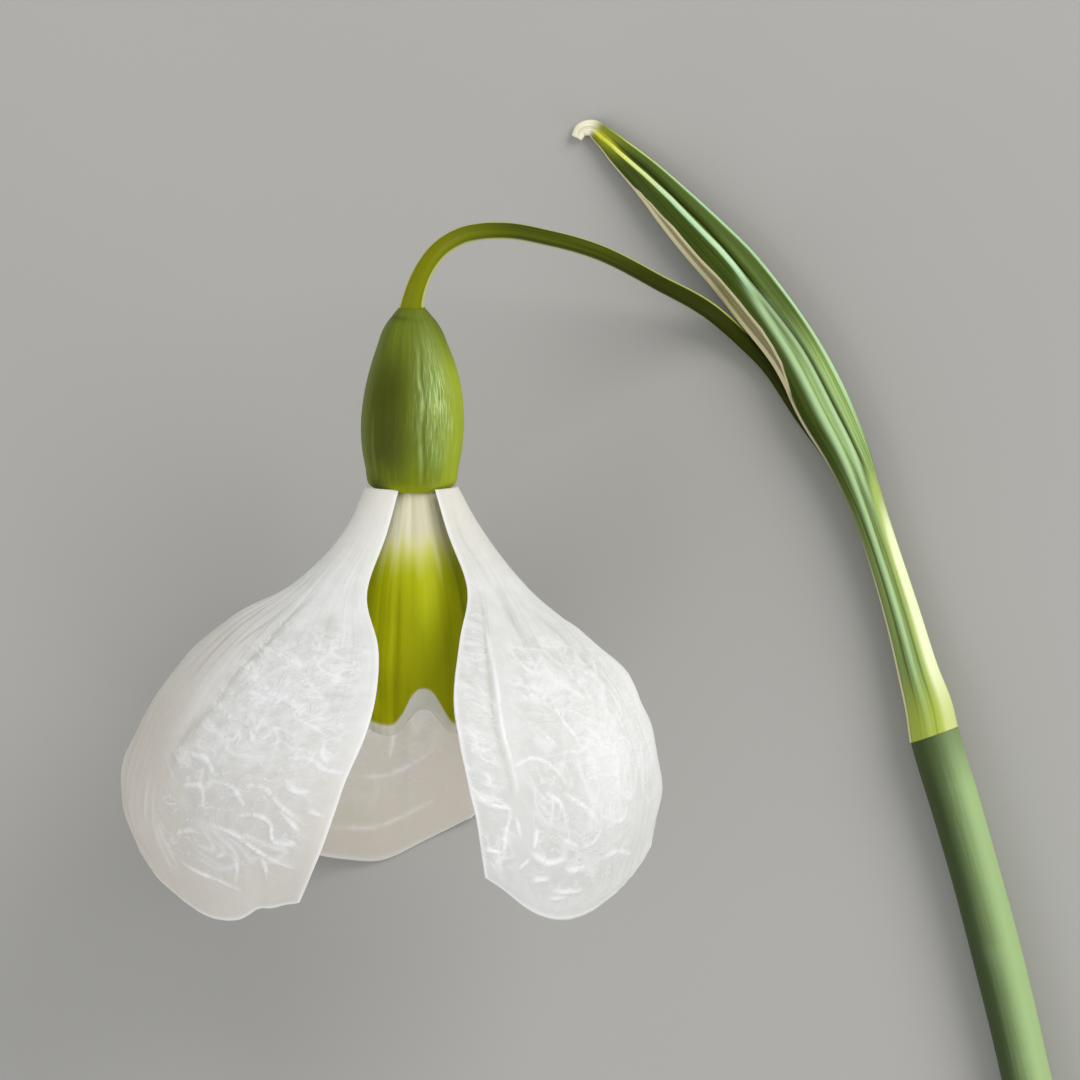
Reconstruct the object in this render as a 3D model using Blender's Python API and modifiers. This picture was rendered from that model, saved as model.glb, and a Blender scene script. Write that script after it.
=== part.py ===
"""Snowdrop flower, picked, lying on a surface with its cut stem.

Lengths are in millimetres times MM. The flower hangs along its own -Z in the frame of an
empty at the underside of the ovary, where -Y is the flower's front; the empty then lays
the flower down. The stalks are drawn flat, from the same point, over the surface at z = 0.
"""

import math

import bmesh
import bpy
import numpy as np
from mathutils import Vector

MM = 0.001
GAP = 0.15  # clearance between pieces that touch on the real flower

# Where the flower is and how it lies
FLOWER_BASE = (-12.1, 16.2, 17.65)  # centre of the ovary's underside
MOUTH_DROP = math.radians(8.5)  # the mouth lies this far below level
FLOWER_TURN = 8.0  # degrees from the front to the nearest inner tepal

# Ovary: radius at each distance above its underside
OVARY_PROFILE = (
    (0.0, 1.95), (0.25, 2.3), (1.2, 2.6), (2.3, 2.79), (3.5, 2.86), (4.6, 2.8),
    (5.7, 2.64), (6.9, 2.33), (8.0, 1.87), (9.1, 1.2), (9.8, 0.78), (10.0, 0.62),
)
OVARY_STEPS = 24

# Outer tepals: the two edges of each, from claw to end, as x, y, z under the ovary
TEPAL_THICKNESS = 0.34
CUP = 0.2  # depth of the spoon as a share of its width
END_FLATTENING = 0.65  # share of the cup that is lost by a tepal's end
OUTER_ROWS, OUTER_COLUMNS = 18, 10
LEFT_FAR_EDGE = (
    (-2.5, -0.7, -0.15), (-3.5, -0.8, -2.0), (-6.3, -1.0, -5.1), (-10.2, -1.1, -7.3),
    (-13.3, -1.2, -10.0), (-15.4, -1.3, -13.5), (-16.2, -1.5, -16.5), (-14.9, -3.2, -20.1),
)
LEFT_NEAR_EDGE = (
    (-0.7, -2.1, -0.15), (-1.3, -2.7, -2.0), (-2.4, -5.4, -5.1), (-1.7, -9.0, -7.9),
    (-2.0, -11.8, -10.8), (-3.5, -13.3, -14.4), (-4.8, -13.4, -18.0), (-6.0, -12.2, -21.1),
)
RIGHT_FAR_EDGE = (
    (2.5, -0.7, -0.15), (3.5, -0.8, -1.7), (6.5, -1.0, -5.6), (9.3, -1.1, -7.8),
    (12.2, -1.1, -10.5), (13.5, -1.2, -14.1), (13.7, -1.5, -16.2), (12.8, -3.5, -19.7),
)
RIGHT_NEAR_EDGE = (
    (1.3, -2.0, -0.15), (1.9, -2.8, -1.8), (3.1, -5.4, -4.9), (2.7, -8.6, -7.3),
    (2.4, -11.4, -10.4), (3.2, -13.2, -14.2), (3.7, -13.3, -16.8), (4.1, -12.5, -19.8),
)
# Back tepal: half angle (degrees), radius and z of its edge, the same on both sides
BACK_AZIMUTH = 192.5
BACK_EDGE = (
    (32.0, 2.4, -0.15), (27.0, 3.3, -2.0), (25.0, 6.2, -5.0), (34.0, 10.0, -8.0),
    (38.0, 13.2, -12.0), (38.0, 14.6, -15.5), (34.0, 14.7, -19.3), (25.0, 14.5, -22.0),
)
# The middle of each tepal's end reaches this far past its corners, and its lowest point
# leans towards the first edge by the skew
LEFT_END_DROP, RIGHT_END_DROP, BACK_END_DROP = 2.4, 3.0, 1.8
LEFT_END_SKEW = 0.35

# Inner tepals: half angle (degrees), radius and z along the middle
INNER_AZIMUTHS = {"front": 0.0, "right": 120.0, "left": 240.0}
INNER_SHAPE = (
    (38.0, 1.62, -0.15), (45.0, 2.4, -2.2), (54.0, 3.6, -5.0), (56.0, 4.5, -9.0),
    (52.0, 4.9, -13.2),
)
INNER_ROWS, INNER_COLUMNS = 11, 13
NOTCH_DEPTH, NOTCH_SHARE = 1.5, 0.24  # depth, and half width as a share of the half width
LOBE_ROUNDING = 1.6  # the outer corners of the lobes stop this far short

# Stamens and style, in a ring inside the inner tepals
STAMEN_COUNT = 6
FILAMENT_RING, FILAMENT_RADIUS, FILAMENT_LENGTH = 1.1, 0.18, 1.5
ANTHER_LEAN = math.radians(2.0)
ANTHER_PROFILE = ((0.0, 0.26), (0.4, 0.38), (2.0, 0.4), (3.8, 0.32), (5.2, 0.15))
ANTHER_TIP = 5.8
STYLE_PROFILE = ((0.0, 0.3), (1.5, 0.24), (7.5, 0.2), (9.4, 0.22))
STYLE_TIP = 9.8

# Pedicel: x, y from the flower's base, height over the surface and radius
PEDICEL_LINE = (
    (0.0, 10.17, 19.2, 0.62), (0.3, 11.1, 19.5, 0.54), (0.75, 12.1, 19.6, 0.5),
    (1.5, 13.1, 19.3, 0.48), (2.7, 13.9, 18.5, 0.47), (3.8, 14.2, 17.5, 0.47),
    (5.0, 14.3, 16.3, 0.46), (7.6, 14.0, 13.2, 0.46), (10.2, 13.4, 9.9, 0.46),
    (13.8, 11.8, 5.2, 0.48), (17.3, 9.9, 1.7, 0.52), (18.8, 8.6, 0.95, 0.5),
    (20.1, 7.3, 0.75, 0.48), (22.2, 4.2, 0.75, 0.45), (23.9, 1.8, 1.0, 0.42), (25.6, -0.7, 1.15, 0.4),
    (27.2, -4.7, 1.2, 0.4), (28.8, -10.0, 1.3, 0.4), (29.6, -13.75, 1.4, 0.4),
)
PEDICEL_POINTS = 44

# Spathe: x, y, half width, half height and how far (degrees) the lower wall stops short of
# the edge that faces the flower; the pedicel leaves through that gap
SPATHE_LINE = (
    (9.15, 20.3, 0.3, 0.3, 60.0), (9.45, 20.8, 0.38, 0.36, 60.0),
    (10.1, 20.95, 0.46, 0.42, 60.0), (10.9, 20.4, 0.62, 0.5, 64.0),
    (11.9, 19.5, 0.82, 0.62, 70.0), (13.4, 18.0, 1.07, 0.8, 76.0),
    (15.0, 16.2, 1.35, 0.98, 82.0), (16.6, 14.4, 1.54, 1.12, 86.0),
    (18.2, 12.6, 1.64, 1.22, 90.0), (19.7, 10.7, 1.67, 1.3, 90.0),
    (21.7, 8.0, 1.58, 1.35, 92.0), (23.6, 4.4, 1.58, 1.35, 92.0),
    (24.8, 2.0, 1.33, 1.3, 84.0), (25.7, -0.3, 1.09, 1.25, 50.0),
    (26.5, -2.6, 1.0, 1.2, 24.0), (27.9, -7.0, 1.06, 1.22, 16.0),
    (28.9, -10.6, 1.22, 1.32, 16.0), (29.5, -12.7, 1.42, 1.42, 16.0),
    (29.72, -13.9, 1.48, 1.46, 16.0),
)
SPATHE_UPPER_EDGE = 4.0  # degrees by which the upper wall stops short of that same edge
SPATHE_WALL = 0.24
SPATHE_ROWS, SPATHE_COLUMNS = 40, 15
SURFACE_GAP = 0.02  # the spathe's underside over the surface

# Scape: x and y of its middle, from the spathe to the cut
SCAPE_LINE = (
    (29.8, -14.07), (31.0, -18.1), (32.15, -22.1), (33.2, -26.0), (34.2, -30.0),
    (35.1, -33.9), (37.3, -43.7), (39.2, -53.5),
)
SCAPE_RADIUS = 1.43
SCAPE_POINTS = 22

# Plain colours (linear RGB) and roughness
WHITE = ((0.86, 0.85, 0.82), 0.55)
TEPAL_GREEN = ((0.42, 0.45, 0.05), 0.5)
OVARY_GREEN = ((0.13, 0.24, 0.02), 0.35)
STALK_GREEN = ((0.15, 0.27, 0.04), 0.45)
SPATHE_GREEN = ((0.16, 0.3, 0.1), 0.5)
SCAPE_GREEN = ((0.17, 0.3, 0.12), 0.6)
ANTHER_ORANGE = ((0.75, 0.32, 0.04), 0.6)
FILAMENT_CREAM = ((0.8, 0.78, 0.6), 0.55)
STYLE_GREEN = ((0.55, 0.62, 0.3), 0.5)


def clear_scene():
    for thing in list(bpy.data.objects):
        bpy.data.objects.remove(thing)


def plain_material(name, finish):
    colour, roughness = finish
    material = bpy.data.materials.new(name)
    material.use_nodes = True
    shader = material.node_tree.nodes["Principled BSDF"]
    shader.inputs["Base Color"].default_value = (*colour, 1.0)
    shader.inputs["Roughness"].default_value = roughness
    shader.inputs["Metallic"].default_value = 0.0
    return material


def add_object(name, data, finish, parent=None):
    data.materials.append(plain_material(name, finish))
    thing = bpy.data.objects.new(name, data)
    flower_parts.objects.link(thing)
    thing.parent = parent
    return thing


def smooth_rows(points, count):
    """Read count rows, evenly spaced, along a smooth curve through the points.

    The first three columns (or two, of a flat line) set the length; all are carried along.
    """
    points = np.array(points, float)
    place = points[:, : min(3, points.shape[1])]
    along = np.insert(np.cumsum(np.linalg.norm(np.diff(place, axis=0), axis=1)), 0, 0.0)
    slope = np.gradient(points, along, axis=0)
    at = np.linspace(0.0, along[-1], count)
    left = np.clip(np.searchsorted(along, at, side="right") - 1, 0, len(along) - 2)
    span = along[left + 1] - along[left]
    t = ((at - along[left]) / span)[:, None]
    span = span[:, None]
    return (
        (2 * t**3 - 3 * t**2 + 1) * points[left]
        + (t**3 - 2 * t**2 + t) * span * slope[left]
        + (3 * t**2 - 2 * t**3) * points[left + 1]
        + (t**3 - t**2) * span * slope[left + 1]
    )


def polar(azimuth, radius, z):
    """A point of the flower's frame; azimuth 0 is its front and 90 its right side."""
    angle = math.radians(azimuth)
    return (radius * math.sin(angle), -radius * math.cos(angle), z)


def sheet_mesh(name, rows):
    """A grid whose rows run along the sheet and whose columns run across it."""
    bm = bmesh.new()
    bmesh.ops.create_grid(bm, x_segments=rows.shape[1] - 1, y_segments=rows.shape[0] - 1, size=1)
    for vertex, place in zip(bm.verts, rows.reshape(-1, 3) * MM):
        vertex.co = place
    mesh = bpy.data.meshes.new(name)
    bm.to_mesh(mesh)
    bm.free()
    mesh.shade_smooth()
    return mesh


def add_sheet(name, rows, thickness, finish, parent=None):
    thing = add_object(name, sheet_mesh(name, rows), finish, parent)
    solidify = thing.modifiers.new("thickness", "SOLIDIFY")
    solidify.thickness = thickness * MM
    solidify.offset = 0.0
    return thing


def add_turned(name, profile, steps, finish, parent=None):
    """A turned solid; the profile's (z, radius) pairs run upwards, and both ends close."""
    bm = bmesh.new()
    outline = [(profile[-1][0], 0.0)] + list(reversed(profile)) + [(profile[0][0], 0.0)]
    corners = [bm.verts.new((radius * MM, 0.0, z * MM)) for z, radius in outline]
    for start, end in zip(corners, corners[1:]):
        bm.edges.new((start, end))
    mesh = bpy.data.meshes.new(name)
    bm.to_mesh(mesh)
    bm.free()
    thing = add_object(name, mesh, finish, parent)
    screw = thing.modifiers.new("turn", "SCREW")
    screw.steps = screw.render_steps = steps
    screw.use_merge_vertices = True
    screw.merge_threshold = 0.00001
    return thing


def add_stalk(name, rows, finish):
    """A round stalk through rows of x, y, z and radius."""
    curve = bpy.data.curves.new(name, "CURVE")
    curve.dimensions = "3D"
    curve.bevel_depth = MM
    curve.bevel_resolution = 3
    curve.use_fill_caps = True
    line = curve.splines.new("POLY")
    line.points.add(len(rows) - 1)
    for point, (x, y, z, radius) in zip(line.points, rows):
        point.co = (x * MM, y * MM, z * MM, 1.0)
        point.radius = radius
    return add_object(name, curve, finish, stalk_plan)


def outer_tepal(name, edge_a, edge_b, end_drop, end_skew=0.0):
    """A spoon between two edges: each row bows outwards from the chord between them."""
    first = smooth_rows(edge_a, OUTER_ROWS)
    last = smooth_rows(edge_b, OUTER_ROWS)
    across = np.linspace(-1.0, 1.0, OUTER_COLUMNS)
    rows = []
    for step, (start, end) in enumerate(zip(first, last)):
        middle = (start + end) / 2
        outward = np.array((middle[0], middle[1], 0.0))
        outward /= np.linalg.norm(outward)
        ending = (step / (OUTER_ROWS - 1)) ** 4
        bow = CUP * (1 - END_FLATTENING * ending) * np.linalg.norm(end - start) * outward
        drop = np.array((0.0, 0.0, end_drop * ending))
        rows.append([
            middle + (end - start) / 2 * u + (bow - drop * (1 - end_skew * u)) * (1 - u * u)
            for u in across
        ])
    add_sheet(name, np.array(rows), TEPAL_THICKNESS, WHITE, flower_axis)


def back_tepal():
    edges = [
        [polar(BACK_AZIMUTH + side * angle, radius, z) for angle, radius, z in BACK_EDGE]
        for side in (-1, 1)
    ]
    outer_tepal("outer_tepal_back", *edges, BACK_END_DROP)


def inner_tepal(name, azimuth):
    """A blade curved round the flower's axis, its end cut by a notch between two lobes."""
    across = np.linspace(-1.0, 1.0, INNER_COLUMNS)
    end_shape = NOTCH_DEPTH * np.exp(-((across / NOTCH_SHARE) ** 2)) + LOBE_ROUNDING * across**4
    rows = []
    for step, (angle, radius, z) in enumerate(smooth_rows(INNER_SHAPE, INNER_ROWS)):
        ending = (step / (INNER_ROWS - 1)) ** 3
        heights = z + end_shape * ending
        rows.append([polar(azimuth + angle * u, radius, height) for u, height in zip(across, heights)])
    add_sheet(name, np.array(rows), TEPAL_THICKNESS, TEPAL_GREEN, flower_axis)


def stamens():
    """Six short filaments, each with a pointed anther, hanging round the style."""
    filament = ((-FILAMENT_LENGTH - GAP, FILAMENT_RADIUS), (-GAP, FILAMENT_RADIUS))
    hang = -FILAMENT_LENGTH - 2 * GAP
    anther = [(hang - ANTHER_TIP, 0.05)]
    anther += [(hang - down, radius) for down, radius in reversed(ANTHER_PROFILE)]
    for number in range(STAMEN_COUNT):
        azimuth = FLOWER_TURN + 360 / STAMEN_COUNT * (number + 0.5)
        place = Vector(polar(azimuth, FILAMENT_RING, 0.0)) * MM
        for kind, profile, steps, finish in (
            ("filament", filament, 8, FILAMENT_CREAM),
            ("anther", anther, 8, ANTHER_ORANGE),
        ):
            thing = add_turned(f"{kind}_{number + 1}", profile, steps, finish, flower_axis)
            thing.location = place
            thing.rotation_euler = (ANTHER_LEAN, 0.0, math.radians(azimuth))


def spathe():
    """A sheath round the pedicel, open along the side that faces the flower."""
    rows = []
    line = smooth_rows([(x, y, 0.0, *rest) for x, y, *rest in SPATHE_LINE], SPATHE_ROWS)
    headings = np.gradient(line[:, :2], axis=0)
    for (x, y, _, half_width, half_height, opening), heading in zip(line, headings):
        side = np.array((-heading[1], heading[0], 0.0)) / np.linalg.norm(heading)
        up = np.array((0.0, 0.0, 1.0))
        middle = np.array((x, y, half_height + SURFACE_GAP))
        wide, high = half_width - SPATHE_WALL / 2, half_height - SPATHE_WALL / 2
        turns = np.linspace(opening - 180, 180 - SPATHE_UPPER_EDGE, SPATHE_COLUMNS)
        rows.append([middle + wide * math.cos(t) * side + high * math.sin(t) * up
                     for t in np.radians(turns)])
    add_sheet("spathe", np.array(rows), SPATHE_WALL, SPATHE_GREEN, stalk_plan)


clear_scene()
flower_parts = bpy.data.collections.new("snowdrop_flower")
bpy.context.scene.collection.children.link(flower_parts)

flower_axis = bpy.data.objects.new("flower_axis", None)
flower_axis.location = Vector(FLOWER_BASE) * MM
flower_axis.rotation_euler = (MOUTH_DROP - math.pi / 2, 0.0, 0.0)
stalk_plan = bpy.data.objects.new("stalk_plan", None)
stalk_plan.location = Vector((FLOWER_BASE[0], FLOWER_BASE[1], 0.0)) * MM
for empty in (flower_axis, stalk_plan):
    flower_parts.objects.link(empty)

add_turned("ovary", OVARY_PROFILE, OVARY_STEPS, OVARY_GREEN, flower_axis)
outer_tepal("outer_tepal_left", LEFT_FAR_EDGE, LEFT_NEAR_EDGE, LEFT_END_DROP, LEFT_END_SKEW)
outer_tepal("outer_tepal_right", RIGHT_NEAR_EDGE, RIGHT_FAR_EDGE, RIGHT_END_DROP)
back_tepal()
for side_name, turn in INNER_AZIMUTHS.items():
    inner_tepal(f"inner_tepal_{side_name}", FLOWER_TURN + turn)
stamens()
style = [(-STYLE_TIP, 0.1)] + [(-down - GAP, radius) for down, radius in reversed(STYLE_PROFILE)]
add_turned("style", style, 8, STYLE_GREEN, flower_axis)
add_stalk("pedicel", smooth_rows(PEDICEL_LINE, PEDICEL_POINTS), STALK_GREEN)
spathe()
scape_line = [(x, y, SCAPE_RADIUS, SCAPE_RADIUS) for x, y in SCAPE_LINE]
add_stalk("scape", smooth_rows(scape_line, SCAPE_POINTS), SCAPE_GREEN)
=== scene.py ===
import math

import bpy
import numpy as np
from mathutils import Matrix, Vector


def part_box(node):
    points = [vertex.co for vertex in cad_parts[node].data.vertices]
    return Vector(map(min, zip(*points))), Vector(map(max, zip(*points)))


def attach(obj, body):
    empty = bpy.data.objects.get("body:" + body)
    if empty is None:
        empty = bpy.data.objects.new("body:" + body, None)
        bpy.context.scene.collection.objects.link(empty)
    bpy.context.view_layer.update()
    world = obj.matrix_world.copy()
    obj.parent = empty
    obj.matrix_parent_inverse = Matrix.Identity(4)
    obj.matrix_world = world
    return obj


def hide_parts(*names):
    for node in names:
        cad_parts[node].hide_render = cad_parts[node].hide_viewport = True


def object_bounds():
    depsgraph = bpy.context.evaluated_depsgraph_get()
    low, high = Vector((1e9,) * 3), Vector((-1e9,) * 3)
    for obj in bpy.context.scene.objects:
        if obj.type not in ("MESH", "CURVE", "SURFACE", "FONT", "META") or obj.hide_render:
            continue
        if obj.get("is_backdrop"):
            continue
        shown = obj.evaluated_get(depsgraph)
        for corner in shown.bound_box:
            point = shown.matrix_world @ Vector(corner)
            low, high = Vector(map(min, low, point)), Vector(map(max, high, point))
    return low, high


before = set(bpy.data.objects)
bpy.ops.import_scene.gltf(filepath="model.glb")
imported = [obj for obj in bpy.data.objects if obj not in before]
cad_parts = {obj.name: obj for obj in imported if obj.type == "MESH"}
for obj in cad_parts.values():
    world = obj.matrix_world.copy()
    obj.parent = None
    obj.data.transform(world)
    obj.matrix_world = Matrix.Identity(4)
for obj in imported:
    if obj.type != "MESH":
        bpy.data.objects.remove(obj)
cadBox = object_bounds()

mm = 0.001
fullTurn = 2 * math.pi
tableSize = 64  # the random tables repeat after this many units
farAway = 99.0  # more than any distance that is looked for


# count rows, evenly spaced, along a smooth curve through the points
def smoothRows(points, count):
    points = np.array(points, float)
    place = points[:, :3]
    along = np.insert(np.cumsum(np.linalg.norm(np.diff(place, axis=0), axis=1)), 0, 0.0)
    slope = np.gradient(points, along, axis=0)
    at = np.linspace(0.0, along[-1], count)
    left = np.clip(np.searchsorted(along, at, side="right") - 1, 0, len(along) - 2)
    span = (along[left + 1] - along[left])[:, None]
    t = ((at - along[left])[:, None]) / span
    return ((2 * t**3 - 3 * t**2 + 1) * points[left] + (t**3 - 2 * t**2 + t) * span * slope[left]
            + (3 * t**2 - 2 * t**3) * points[left + 1] + (t**3 - t**2) * span * slope[left + 1])


def smoothStep(low, high, value):
    t = np.clip((value - low) / (high - low), 0.0, 1.0)
    return t * t * (3 - 2 * t)


def bell(value, middle, width):
    return np.exp(-(((value - middle) / width) ** 2))


# soft random hills from -1 to 1, one about every unit of x and y
def softNoise(x, y, seed):
    heights = np.random.default_rng(seed).uniform(-1.0, 1.0, (tableSize, tableSize))
    column, row = np.floor(x).astype(int), np.floor(y).astype(int)
    fx, fy = smoothStep(0, 1, x - column), smoothStep(0, 1, y - row)
    pick = lambda dx, dy: heights[(column + dx) % tableSize, (row + dy) % tableSize]
    lower = pick(0, 0) * (1 - fx) + pick(1, 0) * fx
    upper = pick(0, 1) * (1 - fx) + pick(1, 1) * fx
    return lower * (1 - fy) + upper * fy


# random cells of about one unit: how far each place is from its cell's border, and the cell's own number
def randomCells(x, y, seed):
    random = np.random.default_rng(seed)
    jitter = random.uniform(0.1, 0.9, (tableSize, tableSize, 2))
    numbers = random.random((tableSize, tableSize))
    column, row = np.floor(x).astype(int), np.floor(y).astype(int)
    nearest, second, own = np.full(x.shape, farAway), np.full(x.shape, farAway), np.zeros(x.shape)
    for dx in (-1, 0, 1):
        for dy in (-1, 0, 1):
            cell = (column + dx) % tableSize, (row + dy) % tableSize
            spot = jitter[cell]
            distance = np.hypot(column + dx + spot[..., 0] - x, row + dy + spot[..., 1] - y)
            closer = distance < nearest
            second = np.where(closer, nearest, np.minimum(second, distance))
            own = np.where(closer, numbers[cell], own)
            nearest = np.minimum(nearest, distance)
    return (second - nearest) / 2, own


def gridNormals(places):
    normals = np.cross(np.gradient(places, axis=1), np.gradient(places, axis=0))
    return normals / (np.linalg.norm(normals, axis=2, keepdims=True) + 1e-12)


def makeMesh(name, points, faces, faceUvs, marks):
    mesh = bpy.data.meshes.new(name)
    mesh.from_pydata(points.tolist(), [], faces)
    uvLayer = mesh.uv_layers.new(name="UVMap")
    uvLayer.data.foreach_set("uv", np.array(faceUvs, np.float32).ravel())
    for mark, values in marks.items():
        attribute = mesh.attributes.new(mark, "FLOAT", "POINT")
        attribute.data.foreach_set("value", values.astype(np.float32).ravel())
    mesh.validate()
    mesh.shade_smooth()
    return mesh


# a thin closed sheet round a grid of places with odd rows and columns; its inner side is half as fine
def sheetMesh(name, places, thickness, marks):
    rows, columns = places.shape[:2]
    half = gridNormals(places) * (thickness * mm / 2)[..., None]
    outer, inner = places + half, (places - half)[::2, ::2]
    outerIndex = np.arange(rows * columns).reshape(rows, columns)
    innerIndex = np.arange(inner[..., 0].size).reshape(inner.shape[:2]) + outerIndex.size

    def quads(grid):
        corners = [grid[:-1, :-1], grid[:-1, 1:], grid[1:, 1:], grid[1:, :-1]]
        return np.stack(corners, -1).reshape(-1, 4)

    def rimOf(grid):
        return np.concatenate([grid[0, :], grid[1:, -1], grid[-1, -2::-1], grid[-2:0:-1, 0]])

    # values of the outer side, then every second one of them for the inner side
    def onBoth(grid):
        everySecond = grid[::2, ::2]
        return np.concatenate([grid.reshape(outerIndex.size, -1), everySecond.reshape(innerIndex.size, -1)])

    outerRim, innerRim = rimOf(outerIndex), rimOf(innerIndex)
    rim = np.stack([np.roll(outerRim, -2)[::2], outerRim[1::2], outerRim[::2],
                    innerRim, np.roll(innerRim, -1)], -1)
    faces = [quads(outerIndex), quads(innerIndex)[:, ::-1], rim]
    corners = np.concatenate([part.ravel() for part in faces])
    across, along = np.meshgrid(np.linspace(0, 1, columns), np.linspace(0, 1, rows))
    uvs = onBoth(np.stack([across, along], -1))
    marks = {mark: onBoth(np.broadcast_to(values, (rows, columns))) for mark, values in marks.items()}
    return makeMesh(name, np.concatenate([outer.reshape(-1, 3), inner.reshape(-1, 3)]),
                    [face for part in faces for face in part.tolist()], uvs[corners], marks)


# a grid turned over if its faces look away from the outward directions, with its marks
def facingOut(places, outward, marks):
    if (gridNormals(places) * outward).sum() < 0:
        places = places[:, ::-1]
        marks = {mark: np.broadcast_to(values, places.shape[:2])[:, ::-1] for mark, values in marks.items()}
    return places, marks


# rings of places, closed round and at both ends
def ringMesh(name, places, marks):
    rows, columns = places.shape[:2]
    ends = np.stack([places[0].mean(axis=0), places[-1].mean(axis=0)])
    points = np.concatenate([places.reshape(-1, 3), ends])
    index = np.arange(rows * columns).reshape(rows, columns)
    after = np.roll(index, -1, axis=1)
    quads = np.stack([index[:-1], after[:-1], after[1:], index[1:]], -1).reshape(-1, 4)
    column = np.tile(np.arange(columns), rows - 1) / columns
    row = np.repeat(np.arange(rows - 1), columns) / (rows - 1)
    du, dv = 1 / columns, 1 / (rows - 1)
    corner = lambda across, up: np.stack([column + across * du, row + up * dv], -1)
    faceUvs = np.stack([corner(0, 0), corner(1, 0), corner(1, 1), corner(0, 1)], 1).reshape(-1, 2).tolist()
    faces = quads.tolist()
    for row, end, flip in ((0, rows * columns, True), (rows - 1, rows * columns + 1, False)):
        for first, second in zip(index[row].tolist(), after[row].tolist()):
            faces.append([second, first, end] if flip else [first, second, end])
            faceUvs += [[0.5, float(not flip)]] * 3
    shape = (rows, columns)
    marks = {mark: np.broadcast_to(values, shape) for mark, values in marks.items()}
    capped = {mark: np.concatenate([values.ravel(), [values[0].mean(), values[-1].mean()]])
              for mark, values in marks.items()}
    return makeMesh(name, points, faces, faceUvs, capped)


def addPiece(name, mesh, material, slotName, nodes=()):
    if not mesh.materials:
        mesh.materials.append(material)
    piece = bpy.data.objects.new(name, mesh)
    bpy.context.scene.collection.objects.link(piece)
    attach(piece, "root")
    if nodes:
        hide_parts(*nodes)
    return piece


# a node in a tree: settings first, then its inputs, each a socket or a value
def addNode(tree, kind, inputs, output=0, **settings):
    made = tree.nodes.new(kind)
    for setting, value in settings.items():
        setattr(made, setting, value)
    for key, value in inputs.items():
        if isinstance(value, bpy.types.NodeSocket):
            tree.links.new(value, made.inputs[key])
        else:
            made.inputs[key].default_value = value
    return made.outputs[output]


# a Principled material being built; each call returns an output socket
class Finish:
    def __init__(self, name, roughness, subsurface=0.0, depth=0.001, **values):
        self.material = bpy.data.materials.new(name)
        self.material.use_nodes = True
        self.tree = self.material.node_tree
        self.shader = self.tree.nodes["Principled BSDF"]
        self.shader.inputs["Roughness"].default_value = roughness
        self.shader.inputs["Subsurface Weight"].default_value = subsurface
        self.shader.inputs["Subsurface Scale"].default_value = depth
        for socket, value in values.items():
            self.shader.inputs[socket.replace("_", " ")].default_value = value

    def add(self, kind, inputs, output=0, **settings):
        return addNode(self.tree, "ShaderNode" + kind, inputs, output, **settings)

    def mark(self, name):
        return self.add("Attribute", {}, 2, attribute_name=name)

    def uv(self, across, along):
        place = self.add("UVMap", {}, uv_map="UVMap")
        return self.add("Mapping", {"Vector": place, "Scale": (across, along, 1.0)})

    def place(self):
        return self.add("TexCoord", {}, 3)

    # places round and along a stalk
    def stalk(self, around, along):
        scales = (("cosine", around), ("sine", around), ("along", along))
        scaled = [self.maths("MULTIPLY", self.mark(name), scale) for name, scale in scales]
        return self.add("CombineXYZ", dict(enumerate(scaled)))

    def noise(self, vector, scale=1.0, detail=2.0, roughness=0.5):
        inputs = {"Vector": vector, "Scale": scale, "Detail": detail, "Roughness": roughness}
        return self.add("TexNoise", inputs)

    def ramp(self, factor, low, high, bottom=0.0, top=1.0):
        inputs = {0: factor, 1: low, 2: high, 3: bottom, 4: top}
        return self.add("MapRange", inputs, interpolation_type="SMOOTHSTEP")

    def maths(self, operation, first, second=0.0):
        return self.add("Math", {0: first, 1: second}, operation=operation)

    # a factor, but only where the mark is
    def where(self, name, factor):
        return self.maths("MULTIPLY", factor, self.mark(name))

    def mix(self, factor, first, second):
        colours = {key: (*value, 1.0) if isinstance(value, tuple) else value
                   for key, value in ((6, first), (7, second))}
        return self.add("Mix", {0: factor, **colours}, 2, data_type="RGBA")

    # lays coats over a colour: each is a mark's or a pattern's name, its share, and a colour or its name
    def coats(self, colour, coats, **patterns):
        for name, share, over in coats:
            factor = patterns[name] if name in patterns else self.mark(name)
            if share < 1.0:
                factor = self.maths("MULTIPLY", factor, share)
            colour = self.mix(factor, colour, patterns[over] if isinstance(over, str) else over)
        return colour

    def bump(self, height, distance, strength=1.0):
        return self.add("Bump", {"Height": height, "Distance": distance * mm, "Strength": strength})

    def finish(self, colour, roughness=None, normal=None):
        for socket, value in (("Base Color", colour), ("Roughness", roughness), ("Normal", normal)):
            if value is not None:
                self.tree.links.new(value, self.shader.inputs[socket])
        return self.material


# the flower's own frame: the ovary's long axis is +Z and its underside is the origin; -Y is the front
def flowerFrame():
    corners = np.array([vertex.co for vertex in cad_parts["ovary"].data.vertices])
    middle = corners.mean(axis=0)
    axis = np.linalg.svd(corners - middle, full_matrices=False)[2][0]
    axis = np.array((0.0, axis[1], axis[2])) * math.copysign(1.0, axis[1])
    axis /= np.linalg.norm(axis)
    low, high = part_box("ovary")
    base = middle + axis * ((corners - middle) @ axis).min()
    base[0] = (low.x + high.x) / 2
    right = np.array((1.0, 0.0, 0.0))
    return base, np.stack([right, np.cross(axis, right), axis])


flowerBase, flowerAxes = flowerFrame()
flowerMatrix = Matrix.Translation(Vector(flowerBase)) @ Matrix(flowerAxes.T.tolist()).to_4x4()


def onFlower(places):
    return flowerBase + (np.asarray(places) * mm) @ flowerAxes


def polar(azimuth, radius, z):
    angle = np.radians(azimuth)
    return np.stack(np.broadcast_arrays(radius * np.sin(angle), -radius * np.cos(angle), z), -1)


print("flower frame: base", [round(float(value) / mm, 2) for value in flowerBase])

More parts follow.
